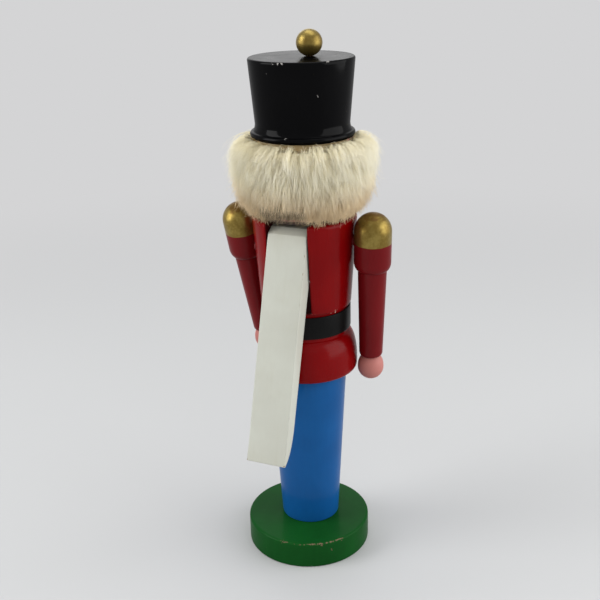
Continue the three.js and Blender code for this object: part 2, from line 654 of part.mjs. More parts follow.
// One arm with its hand and the dowel it turns on, about the shoulder's pivot. Side is 1 for the figure's left.
function makeArm(side) {
  const label = side > 0 ? 'left' : 'right';
  const swing = side > 0 ? LEFT_SWING : RIGHT_SWING;
  const tilt = THREE.MathUtils.degToRad(side * ARM_TILT);
  const sleeveFoot = -SLEEVE_DROP;
  const cuffFoot = -CUFF_DROP;
  const pegHole = HAND_PEG_RADIUS + DOWEL_GAP;

  const sleeve = new THREE.Path();
  sleeve.moveTo(0, sleeveFoot + HAND_PEG_LENGTH);
  sleeve.lineTo(pegHole, sleeveFoot + HAND_PEG_LENGTH);
  sleeve.lineTo(pegHole, sleeveFoot);
  sleeve.lineTo(SLEEVE_END_RADIUS - SLEEVE_EDGE, sleeveFoot);
  sleeve.quadraticCurveTo(SLEEVE_END_RADIUS, sleeveFoot, SLEEVE_END_RADIUS, sleeveFoot + SLEEVE_EDGE);
  sleeve.lineTo(SLEEVE_TOP_RADIUS, cuffFoot - CUFF_EDGE);
  sleeve.quadraticCurveTo(ARM_RADIUS, cuffFoot - CUFF_EDGE, ARM_RADIUS, cuffFoot);
  sleeve.lineTo(ARM_RADIUS, DOME_RISE);
  sleeve.absarc(0, DOME_RISE, ARM_RADIUS, 0, Math.PI / 2, false);

  const socketEnd = SHOULDER_DOWEL_DEPTH - ARM_RADIUS;
  const socket = bore(SHOULDER_DOWEL_RADIUS + DOWEL_GAP, -socketEnd - DOWEL_END_GAP, 2 * ARM_RADIUS);
  socket.rotateY((-side * Math.PI) / 2);
  const arm = solid(turned(sleeve, ARM_FACETS).rotateY(tilt)).subtract(solid(socket));

  const handTop = sleeveFoot - GLUE_GAP;
  const palm = handTop - HAND_LENGTH / 2;
  const handNeck = SLEEVE_END_RADIUS - SLEEVE_EDGE;
  const hand = new THREE.Path();
  hand.moveTo(0, handTop - HAND_LENGTH);
  hand.bezierCurveTo(
    FIST_OUT * HAND_RADIUS, handTop - HAND_LENGTH,
    HAND_RADIUS, palm - FIST_DROP * HAND_LENGTH,
    HAND_RADIUS, palm,
  );
  hand.quadraticCurveTo(HAND_RADIUS, palm + WRIST_RISE * HAND_LENGTH, handNeck, handTop);
  hand.lineTo(HAND_PEG_RADIUS, handTop);
  hand.lineTo(HAND_PEG_RADIUS, sleeveFoot + HAND_PEG_LENGTH - DOWEL_END_GAP);
  hand.lineTo(0, sleeveFoot + HAND_PEG_LENGTH - DOWEL_END_GAP);

  const inTorso = SHOULDER_SIDE - chestRadius(SHOULDER_HEIGHT) + SHOULDER_DOWEL_DEPTH;
  const dowel = rod(SHOULDER_DOWEL_RADIUS, -socketEnd, inTorso).rotateY((-side * Math.PI) / 2);

  const group = new THREE.Group();
  group.position.set(side * SHOULDER_SIDE, -ARM_FORWARD, SHOULDER_HEIGHT);
  group.rotation.x = THREE.MathUtils.degToRad(-swing);
  group.add(
    piece(`arm_${label}`, arm, SLEEVE_RED),
    piece(`hand_${label}`, solid(turned(hand, ARM_FACETS).rotateY(tilt)), SKIN_PAINT),
    piece(`shoulder_dowel_${label}`, solid(dowel), BARE_WOOD),
  );
  return group;
}

const nutcracker = new THREE.Group();
nutcracker.name = 'nutcracker';
nutcracker.add(
  ...makeBase(),
  ...makeLegs(),
  ...makeTorso(),
  ...makeBelt(),
  ...makeHead(),
  ...makeHair(),
  ...makeHat(),
  ...makeLever(),
  makeArm(1),
  makeArm(-1),
);

export default nutcracker;
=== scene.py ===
"""A painted wooden nutcracker: a turned soldier with fur hair, gold shoulders and a white cracking lever.

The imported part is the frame. Each class builds one sub-assembly as smooth numpy surfaces, in metres and in
the frame's own axes: +Z is up, the figure faces -Y, and its left arm is on the +X side.
"""

import logging
import math
from collections.abc import Sequence
from dataclasses import dataclass, field, replace
from enum import Enum
from functools import reduce

import bpy
import numpy as np
from mathutils import Matrix, Vector


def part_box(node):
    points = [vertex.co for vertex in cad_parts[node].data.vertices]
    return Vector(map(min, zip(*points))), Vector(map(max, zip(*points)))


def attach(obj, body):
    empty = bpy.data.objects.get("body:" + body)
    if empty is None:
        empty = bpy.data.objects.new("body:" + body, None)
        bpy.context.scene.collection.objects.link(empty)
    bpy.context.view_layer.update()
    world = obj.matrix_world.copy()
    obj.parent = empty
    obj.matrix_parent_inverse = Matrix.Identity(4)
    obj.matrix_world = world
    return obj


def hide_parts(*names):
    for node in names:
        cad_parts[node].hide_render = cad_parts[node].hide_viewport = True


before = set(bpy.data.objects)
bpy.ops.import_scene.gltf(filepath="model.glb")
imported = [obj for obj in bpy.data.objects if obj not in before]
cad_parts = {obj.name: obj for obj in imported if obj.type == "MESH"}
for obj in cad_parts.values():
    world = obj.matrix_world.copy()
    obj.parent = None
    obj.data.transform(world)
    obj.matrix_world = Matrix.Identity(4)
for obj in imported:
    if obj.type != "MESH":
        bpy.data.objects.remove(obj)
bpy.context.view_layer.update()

MM = 0.001
WIDE_FACETS = 192
ARM_FACETS = 120
SMALL_FACETS = 64
LONGEST_STEP = 1.6 * MM
SHARP_ANGLE = math.radians(38)

Array = np.ndarray
Colour = tuple[float, float, float, float]
Place = tuple[float, float, float]

log = logging.getLogger("nutcracker")


class Body(Enum):
    """The bodies of the frame that pieces ride on."""

    FIGURE = "figure"
    LEVER = "lever"
    LEFT_ARM = "left_arm"
    RIGHT_ARM = "right_arm"


class Slot(Enum):
    """The finishes that the record names."""

    GREEN = "green_paint"
    BLUE = "blue_paint"
    RED = "red_lacquer"
    SLEEVE = "sleeve_paint"
    BLACK = "black_lacquer"
    BELT = "black_belt"
    SKIN = "skin_paint"
    GOLD = "gold_paint"
    WHITE = "white_paint"
    FUR = "fur"
    HIDE = "hide"
    WOOD = "bare_wood"


class Side(Enum):
    """The figure's own left and right, as the sign of X."""

    LEFT = 1
    RIGHT = -1


def srgb(red: int, green: int, blue: int) -> Colour:
    """Gives a colour written as screen values from 0 to 255 in linear light.

    Args:
        red: Red on a screen.
        green: Green on a screen.
        blue: Blue on a screen.

    Returns:
        The linear colour with full alpha.
    """
    share = np.array([red, green, blue]) / 255
    linear = np.where(share <= 0.04045, share / 12.92, ((share + 0.055) / 1.055) ** 2.4)
    return (*linear.tolist(), 1.0)


def node_box(node: str) -> tuple[Array, Array]:
    """Gives a CAD node's lowest and highest corners as arrays.

    Args:
        node: The node's name.

    Returns:
        The two corners.
    """
    low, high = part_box(node)
    return np.array(low), np.array(high)


# Outlines and surfaces


@dataclass
class Surface:
    """A mesh held as whole arrays.

    Attributes:
        points: One row of x, y and z for each point.
        faces: Arrays of point numbers, one array for each number of corners.
        marks: Named values at the points, which finishes read.
    """

    points: Array
    faces: list[Array]
    marks: dict[str, Array] = field(default_factory=dict)

    def placed(self, turn: Array, shift: Sequence[float]) -> "Surface":
        """Returns the surface turned by a 3 by 3 matrix and then shifted."""
        return Surface(self.points @ turn.T + np.asarray(shift), self.faces, self.marks)

    def outward(self) -> "Surface":
        """Turns the faces over where the volume they enclose comes out negative.

        The volume is the sum of a . (b x c) over fans of triangles.

        Returns:
            The surface with its faces pointing out.
        """
        volume = 0.0
        for faces in self.faces:
            corner = self.points[faces]
            across = np.cross(corner[:, 1:-1], corner[:, 2:])
            volume += float((corner[:, :1] * across).sum())
        if volume >= 0:
            return self
        return Surface(self.points, [faces[:, ::-1] for faces in self.faces], self.marks)

    def joined(self, other: "Surface") -> "Surface":
        """Joins two surfaces into one mesh, with a mark that one lacks set to nought there.

        Args:
            other: The surface to add.

        Returns:
            Both surfaces as one.
        """
        shift = len(self.points)
        names = sorted(set(self.marks) | set(other.marks))
        marks = {
            name: np.concatenate([
                self.marks.get(name, np.zeros(len(self.points))),
                other.marks.get(name, np.zeros(len(other.points))),
            ])
            for name in names
        }
        faces = self.faces + [faces + shift for faces in other.faces]
        return Surface(np.vstack([self.points, other.points]), faces, marks)


def unit(vectors: Array) -> Array:
    """Returns the vectors at length one."""
    return vectors / np.linalg.norm(vectors, axis=-1, keepdims=True)


def turn_about(axis: str, degrees: float) -> Array:
    """Returns the 3 by 3 matrix of a turn about X, Y or Z."""
    return np.array(Matrix.Rotation(math.radians(degrees), 3, axis))


def travelled(outline: Array) -> Array:
    """Returns the length of an outline up to each of its points."""
    steps = np.linalg.norm(np.diff(outline, axis=0), axis=1)
    return np.concatenate([[0.0], np.cumsum(steps)])


def fillet(corners: Sequence[Sequence[float]], radii: Sequence[float], steps: int = 6) -> Array:
    """Rounds the inner corners of an open outline.

    An arc touches both sides of its corner. Its points blend the two radius vectors at the touching points
    with weights sin((1 - t) w) / sin w and sin(t w) / sin w, where w is the arc's angle.

    Args:
        corners: The outline's corners.
        radii: A radius for each corner but the first and last.
        steps: Steps along each arc.

    Returns:
        The rounded outline.
    """
    ends = np.asarray(corners, float)
    radius = np.asarray(radii, float)[:, None]
    here = ends[1:-1]
    back = unit(ends[:-2] - here)
    ahead = unit(ends[2:] - here)
    half = np.arccos(np.clip((back * ahead).sum(1), -1, 1))[:, None] / 2
    middle = here + unit(back + ahead) * radius / np.sin(half)
    start = here + back * radius / np.tan(half) - middle
    end = here + ahead * radius / np.tan(half) - middle
    sweep = np.pi - 2 * half
    share = np.linspace(0, 1, steps + 1)
    first = (np.sin((1 - share) * sweep) / np.sin(sweep))[..., None]
    second = (np.sin(share * sweep) / np.sin(sweep))[..., None]
    arcs = middle[:, None] + first * start[:, None] + second * end[:, None]
    return np.vstack([ends[:1], arcs.reshape(-1, 2), ends[-1:]])


def bezier(control: Sequence[Sequence[float]], steps: int = 16) -> Array:
    """Gives points along a Bezier curve, by blending neighbouring control points until one is left.

    Args:
        control: The control points.
        steps: Steps along the curve.

    Returns:
        The points.
    """
    share = np.linspace(0, 1, steps + 1)[:, None]
    level = np.repeat(np.asarray(control, float)[:, None], steps + 1, axis=1)
    while len(level) > 1:
        level = level[:-1] * (1 - share) + level[1:] * share
    return level[0]


def spread(outline: Array, longest: float = LONGEST_STEP) -> Array:
    """Adds points along long straight stretches, at even lengths along the outline.

    Args:
        outline: The outline.
        longest: The length between the added points.

    Returns:
        The outline with all its points and the added ones.
    """
    length = travelled(outline)
    extra = np.arange(longest, length[-1], longest)
    clear = np.abs(extra[:, None] - length).min(axis=1) > longest / 4
    stops = np.sort(np.concatenate([length, extra[clear]]))
    return np.column_stack([np.interp(stops, length, outline[:, axis]) for axis in range(2)])


def edge_wear(outline: Array, reach: float = 0.8 * MM) -> Array:
    """Gives how exposed each point is: the outward bend near it, weighted by a bell curve of the distance.

    Args:
        outline: An outline that runs outwards, up and back in.
        reach: The bell curve's width.

    Returns:
        A value for each point, nought on a flat stretch and about one at a square corner.
    """
    step = np.diff(outline, axis=0)
    heading = np.unwrap(np.arctan2(step[:, 1], step[:, 0]))
    bend = np.zeros(len(outline))
    bend[1:-1] = np.clip(np.diff(heading), 0, None)
    length = travelled(outline)
    near = np.exp(-0.5 * ((length[:, None] - length) / reach) ** 2)
    return np.clip(near @ bend / (np.pi / 2), 0, 1)


def grid_faces(rows: int, columns: int, wrap_rows: bool, wrap_columns: bool) -> Array:
    """Gives the four-cornered faces of a grid of points.

    Args:
        rows: Rows of points.
        columns: Points in each row.
        wrap_rows: Whether the last row meets the first.
        wrap_columns: Whether the last column meets the first.

    Returns:
        The faces, as point numbers counted row by row.
    """
    row = np.arange(rows if wrap_rows else rows - 1)[:, None]
    column = np.arange(columns if wrap_columns else columns - 1)[None]
    next_row = (row + 1) % rows
    next_column = (column + 1) % columns
    corners = [
        row * columns + column,
        row * columns + next_column,
        next_row * columns + next_column,
        next_row * columns + column,
    ]
    return np.stack(corners, -1).reshape(-1, 4)


def capped(points: Array, foot: Place | None, top: Place | None, marks: dict[str, Array]) -> Surface:
    """Closes rings of points above one another with a fan to a middle point at the foot and at the top.

    Args:
        points: The rings, as rows by columns by three.
        foot: The middle of the lowest ring's fan, or None.
        top: The middle of the highest ring's fan, or None.
        marks: Named values, one for each ring.

    Returns:
        The surface.
    """
    rows, columns = points.shape[:2]
    flat = [points.reshape(-1, 3)]
    faces = [grid_faces(rows, columns, False, True)]
    values = {name: [np.repeat(value, columns)] for name, value in marks.items()}
    here = np.arange(columns)
    after = (here + 1) % columns
    for middle, ring, ends in ((foot, 0, (after, here)), (top, rows - 1, (here, after))):
        if middle is None:
            continue
        number = sum(len(part) for part in flat)
        flat.append(np.array([middle]))
        fan = [np.full(columns, number), ends[0] + ring * columns, ends[1] + ring * columns]
        faces.append(np.stack(fan, -1))
        for name, value in marks.items():
            values[name].append(value[ring:ring + 1])
    return Surface(np.vstack(flat), faces, {name: np.concatenate(value) for name, value in values.items()})


def turned(outline: Array, facets: int) -> Surface:
    """Turns an outline of radius and height about Z: x = r cos a, y = r sin a, z = height.

    Args:
        outline: The outline, from the axis at the foot, outwards and up, to the axis at the top.
        facets: Facets round the turn.

    Returns:
        The closed surface, with the marks along (height) and wear.
    """
    angle = 2 * np.pi * np.arange(facets) / facets
    ring = outline[1:-1]
    radius = ring[:, :1]
    height = np.broadcast_to(ring[:, 1:], (len(ring), facets))
    points = np.stack([radius * np.cos(angle), radius * np.sin(angle), height], -1)
    marks = {"along": ring[:, 1], "wear": edge_wear(outline)[1:-1]}
    foot = (0.0, 0.0, outline[0, 1])
    top = (0.0, 0.0, outline[-1, 1])
    return capped(points, foot, top, marks).outward()


def banded(section: Array, start: float, end: float, facets: int) -> Surface:
    """Carries a closed section of radius and height round part of a turn, or all of it.

    The angle is measured from the back, so x = r sin a and y = r cos a.

    Args:
        section: The section's points, the last joined to the first.
        start: The first angle in radians.
        end: The last angle in radians. A full turn has no ends.
        facets: Facets between the two angles.

    Returns:
        The closed surface, with the mark wear.
    """
    whole = end - start > 2 * np.pi - 1e-6
    angle = np.linspace(start, end, facets + (not whole), endpoint=not whole)[:, None]
    radius = section[:, 0]
    height = np.broadcast_to(section[:, 1], (len(angle), len(section)))
    points = np.stack([radius * np.sin(angle), radius * np.cos(angle), height], -1)
    faces = [grid_faces(len(angle), len(section), whole, True)]
    if not whole:
        last = (len(angle) - 1) * len(section)
        first_cap = np.arange(len(section))[None, ::-1]
        faces += [first_cap, last + np.arange(len(section))[None]]
    wear = edge_wear(np.vstack([section[-1:], section, section[:1]]))[1:-1]
    marks = {"wear": np.tile(wear, len(angle))}
    return Surface(points.reshape(-1, 3), faces, marks).outward()


def rounded_box(low: Sequence[float], high: Sequence[float], radius: float, steps: int = 4) -> Array:
    """Gives a rectangle with round corners as a closed outline.

    Args:
        low: The corner with the least values.
        high: The corner with the greatest values.
        radius: The corners' radius.
        steps: Steps along each corner.

    Returns:
        The points, counter-clockwise, without repeating the first.
    """
    middle = (np.asarray(low) + np.asarray(high)) / 2
    start = (middle[0], low[1])
    corners = [start, (high[0], low[1]), high, (low[0], high[1]), low, start]
    return fillet(corners, [radius] * 4, steps)[:-1]


def cheek(outline: Array, half_gap: float, arris: float, side: Side) -> Surface:
    """Builds what is left of a turning on one side of a sawn slot.

    Each level is an arc of the turning's radius r closed by a straight wall, with the two corners rounded.
    The rounding's centre lies arris inside both, at x = gap + arris and y = sqrt((r - arris)^2 - x^2).

    Args:
        outline: Radius and height of the turning, from the slot's floor up.
        half_gap: From the middle of the slot to its wall.
        arris: Radius of the rounded corners.
        side: The side of the slot.

    Returns:
        The closed surface, with the marks along and wear.
    """
    arc_steps = 48
    corner_steps = 6
    wall_steps = 24
    drawn_in = 0.96
    corner_wear = 0.8
    radius = outline[:, :1]
    centre_x = half_gap + arris
    centre_y = np.sqrt((radius - arris) ** 2 - centre_x**2)
    reach = np.arctan2(centre_y, centre_x)
    arc = reach * np.linspace(-1, 1, arc_steps)
    corner = reach + (np.pi - reach) * np.linspace(0, 1, corner_steps + 1)[1:]
    wall = np.linspace(1, -1, wall_steps)[1:-1]
    far = corner[:, ::-1]
    x = np.hstack([
        radius * np.cos(arc),
        centre_x + arris * np.cos(corner),
        np.full((len(radius), len(wall)), half_gap),
        centre_x + arris * np.cos(far),
    ])
    y = np.hstack([
        radius * np.sin(arc),
        centre_y + arris * np.sin(corner),
        centre_y * wall,
        -centre_y - arris * np.sin(far),
    ])
    z = np.broadcast_to(outline[:, 1:], x.shape)
    rings = np.stack([side.value * x, y, z], -1)
    # The foot stands a little way down in the body below, drawn in so that no two surfaces lie together.
    middle = np.array([side.value * (half_gap + radius.max()) / 2, 0.0, 0.0])
    sunk = (rings[:1] - middle) * (drawn_in, drawn_in, 1.0) + middle - (0.0, 0.0, MM)
    rings = np.concatenate([sunk, rings])
    wear = np.concatenate([[0.0], edge_wear(outline)])
    marks = {"along": rings[:, 0, 2], "wear": wear}
    foot = (middle[0], 0.0, rings[0, 0, 2])
    top = (middle[0], 0.0, rings[-1, 0, 2])
    surface = capped(rings, foot, top, marks)
    edge = np.zeros(x.shape[1])
    edge[arc_steps:arc_steps + corner_steps] = 1
    edge[-corner_steps:] = 1
    exposed = np.concatenate([np.tile(edge, len(rings)), [0.0, 0.0]])
    surface.marks["wear"] = np.maximum(surface.marks["wear"], corner_wear * exposed)
    return surface.outward()


def board(outline: Array, width: float, arris: Array) -> Surface:
    """Saws a closed side outline out of a board and rounds its edges.

    Over the rounding, an angle b runs from 0 to a right angle, the side moves out by arris sin b, and the
    outline moves in along its normals by arris (1 - cos b).

    Args:
        outline: The side outline as y and z, the last point joined to the first.
        width: The board's thickness, along X.
        arris: The rounding's radius at each point of the outline.

    Returns:
        The closed surface, with the mark wear.
    """
    steps = 5
    ahead = np.roll(outline, -1, axis=0) - np.roll(outline, 1, axis=0)
    normal = unit(np.column_stack([-ahead[:, 1], ahead[:, 0]]))
    turning = np.cross(outline, np.roll(outline, -1, axis=0)).sum()
    inward = normal * np.sign(turning)
    bend = np.linspace(0, np.pi / 2, steps + 1)
    bend = np.concatenate([-bend[::-1], bend])[:, None]
    shift = arris * (1 - np.cos(bend))
    x = np.where(np.arange(len(bend)) > steps, 1, -1)[:, None] * (width / 2 - arris) + arris * np.sin(bend)
    side = outline + inward * shift[..., None]
    points = np.concatenate([x[..., None], side], axis=-1)
    count = len(outline)
    last = (len(bend) - 1) * count
    faces = [
        grid_faces(len(bend), count, False, True),
        np.arange(count)[None, ::-1],
        last + np.arange(count)[None],
    ]
    wear = np.tile(np.sin(np.abs(2 * bend)) ** 2, (1, count))
    return Surface(points.reshape(-1, 3), faces, {"wear": wear.ravel()}).outward()


def plaque(section: Array, thickness: float, arris: float, middle: float) -> Surface:
    """Saws a closed outline of x and z out of a board that lies across the figure.

    Args:
        section: The outline as x and z.
        thickness: The board's thickness, along Y.
        arris: Radius of its rounded edges.
        middle: Y of the middle of its thickness.

    Returns:
        The closed surface.
    """
    swap = np.array([[0.0, 1.0, 0.0], [1.0, 0.0, 0.0], [0.0, 0.0, 1.0]])
    flat = board(section, thickness, np.full(len(section), arris))
    return flat.placed(swap, (0.0, middle, 0.0)).outward()


def drill_bit(radius: float, length: float, start: Sequence[float]) -> Surface:
    """Makes a round bar along X, which cuts a bore.

    Args:
        radius: The bar's radius.
        length: Its length.
        start: The middle of its first end.

    Returns:
        The closed surface.
    """
    bar = fillet([(0, 0), (radius, 0), (radius, length), (0, length)], [MM / 10, MM / 10])
    return turned(bar, SMALL_FACETS).placed(turn_about("Y", 90), start)


def sphere(radius: float, middle: Sequence[float]) -> Surface:
    """Turns half a circle into a ball: the outline is r cos a and r sin a, with a from pole to pole.

    Args:
        radius: The ball's radius.
        middle: Its middle.

    Returns:
        The closed surface.
    """
    angle = np.linspace(-np.pi / 2, np.pi / 2, SMALL_FACETS)
    arc = radius * np.column_stack([np.cos(angle), np.sin(angle)])
    arc[[0, -1], 0] = 0.0
    return turned(arc, SMALL_FACETS).placed(np.eye(3), middle)


def hairs(spine: Array, thickness: Array, outward: Array, marks: dict[str, Array]) -> Surface:
    """Makes each hair a thin three-sided rod that tapers along its spine.

    At every step the three corners lie at even angles round the spine, in the plane of two directions square
    to it: side = tangent x outward, and up = side x tangent.

    Args:
        spine: The hairs' middle lines, as hairs by steps by three.
        thickness: Radius at each step, as hairs by steps.
        outward: A direction for each hair that is never along it.
        marks: Named values for each hair.

    Returns:
        The closed surface, with the given marks and along, from 0 at the root to 1 at the tip.
    """
    count, steps = spine.shape[:2]
    tangent = unit(np.gradient(spine, axis=1))
    side = unit(np.cross(tangent, outward[:, None]))
    up = np.cross(side, tangent)
    angle = 2 * np.pi * np.arange(3) / 3
    offset = np.cos(angle)[:, None] * side[:, :, None] + np.sin(angle)[:, None] * up[:, :, None]
    points = spine[:, :, None] + thickness[..., None, None] * offset
    first = (np.arange(count) * steps * 3)[:, None, None]
    walls = (grid_faces(steps, 3, False, True)[None] + first).reshape(-1, 4)
    root = first[:, 0] + np.array([[2, 1, 0]])
    tip = first[:, 0] + (steps - 1) * 3 + np.array([[0, 1, 2]])
    values = {name: np.repeat(value, steps * 3) for name, value in marks.items()}
    values["along"] = np.tile(np.repeat(np.linspace(0, 1, steps), 3), count)
    return Surface(points.reshape(-1, 3), [walls, np.vstack([root, tip])], values).outward()


# Meshes and the frame


def mesh_object(name: str, surface: Surface, sharp: bool = True) -> bpy.types.Object:
    """Puts a surface into a new object at the origin.

    Args:
        name: The object's name.
        surface: The surface.
        sharp: Whether edges past SHARP_ANGLE stay sharp.

    Returns:
        The object, linked to the scene.
    """
    mesh = bpy.data.meshes.new(name)
    corners = np.concatenate([faces.ravel() for faces in surface.faces])
    counts = np.concatenate([np.full(len(faces), faces.shape[1]) for faces in surface.faces])
    starts = np.concatenate([[0], np.cumsum(counts)[:-1]])
    mesh.vertices.add(len(surface.points))
    mesh.loops.add(len(corners))
    mesh.polygons.add(len(counts))
    mesh.vertices.foreach_set("co", surface.points.astype(np.float32).ravel())
    mesh.loops.foreach_set("vertex_index", corners.astype(np.int32))
    mesh.polygons.foreach_set("loop_start", starts.astype(np.int32))
    mesh.update(calc_edges=True)
    mesh.polygons.foreach_set("use_smooth", np.ones(len(counts), bool))
    for key, value in surface.marks.items():
        attribute = mesh.attributes.new(key, "FLOAT", "POINT")
        attribute.data.foreach_set("value", value.astype(np.float32))
    if sharp:
        mesh.set_sharp_from_angle(angle=SHARP_ANGLE)
    made = bpy.data.objects.new(name, mesh)
    bpy.context.scene.collection.objects.link(made)
    return made


def carve(piece: bpy.types.Object, cutters: Sequence[Surface]) -> None:
    """Cuts closed surfaces out of a piece and leaves it a plain mesh.

    Args:
        piece: The piece to cut.
        cutters: The surfaces to take away.
    """
    tools = [mesh_object(f"{piece.name}_cutter_{number}", cutter) for number, cutter in enumerate(cutters)]
    for tool in tools:
        cut = piece.modifiers.new(tool.name, "BOOLEAN")
        cut.operation = "DIFFERENCE"
        cut.solver = "EXACT"
        cut.object = tool
    graph = bpy.context.evaluated_depsgraph_get()
    mesh = bpy.data.meshes.new_from_object(
        piece.evaluated_get(graph), preserve_all_data_layers=True, depsgraph=graph
    )
    piece.modifiers.clear()
    whole = piece.data
    piece.data = mesh
    bpy.data.meshes.remove(whole)
    mesh.name = piece.name
    mesh.polygons.foreach_set("use_smooth", np.ones(len(mesh.polygons), bool))
    mesh.set_sharp_from_angle(angle=SHARP_ANGLE)
    for tool in tools:
        mesh = tool.data
        bpy.data.objects.remove(tool)
        bpy.data.meshes.remove(mesh)


def dress(piece: bpy.types.Object, material: bpy.types.Material) -> None:
    """Gives a piece one material."""
    piece.data.materials.clear()
    piece.data.materials.append(material)


def settle(
    piece: bpy.types.Object,
    material: bpy.types.Material,
    body: Body,
    nodes: Sequence[str] = (),
) -> bpy.types.Object:
    """Dresses a piece and ties it to the frame.

    Args:
        piece: The piece.
        material: Its finish.
        body: The body that it rides on.
        nodes: The CAD nodes that it stands for.

    Returns:
        The piece.
    """
    dress(piece, material)
    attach(piece, body.value)
    if nodes:
        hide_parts(*nodes)
    log.info("%s: %d faces, rides on %s", piece.name, len(piece.data.polygons), body.value)
    return piece


# Finishes


class Value:
    """A number that varies over a surface: a node's socket that works in sums."""

    def __init__(self, palette: "Palette", socket: bpy.types.NodeSocket) -> None:
        """Keeps the palette that the socket belongs to, and the socket."""
        self.palette = palette
        self.socket = socket

    def maths(self, operation: str, *others: "Value | float") -> "Value":
        """Adds a Math node with this value first and the others after it."""
        inputs = dict(enumerate((self, *others)))
        return self.palette.value("ShaderNodeMath", {"operation": operation}, inputs)

    def __add__(self, other: "Value | float") -> "Value":
        """Adds."""
        return self.maths("ADD", other)

    __radd__ = __add__

    def __mul__(self, other: "Value | float") -> "Value":
        """Multiplies."""
        return self.maths("MULTIPLY", other)

    __rmul__ = __mul__

    def __sub__(self, other: "Value | float") -> "Value":
        """Takes away."""
        return self.maths("SUBTRACT", other)

    def __rsub__(self, first: float) -> "Value":
        """Is taken away from a plain number."""
        return self.palette.value("ShaderNodeMath", {"operation": "SUBTRACT"}, {0: first, 1: self})

    def __truediv__(self, other: "Value | float") -> "Value":
        """Divides."""
        return self.maths("DIVIDE", other)

    def __pow__(self, power: float) -> "Value":
        """Raises to a power."""
        return self.maths("POWER", power)

    def __abs__(self) -> "Value":
        """Drops the sign."""
        return self.maths("ABSOLUTE")

    def most(self, other: "Value | float") -> "Value":
        """Takes the greater of two."""
        return self.maths("MAXIMUM", other)

    def above(self, low: float, high: float) -> "Value":
        """Eases from 0 at low to 1 at high."""
        settings = {"interpolation_type": "SMOOTHSTEP"}
        return self.palette.value("ShaderNodeMapRange", settings, {0: self, 1: low, 2: high})

    def below(self, low: float, high: float) -> "Value":
        """Eases from 1 at low to 0 at high."""
        return 1 - self.above(low, high)


Tint = bpy.types.NodeSocket | Colour


@dataclass
class Layers:
    """What a finish feeds into its shader."""

    colour: Tint
    roughness: "Value | float"
    height: "Value | None" = None
    metallic: "Value | float" = 0.0
    coat: "Value | float" = 0.0


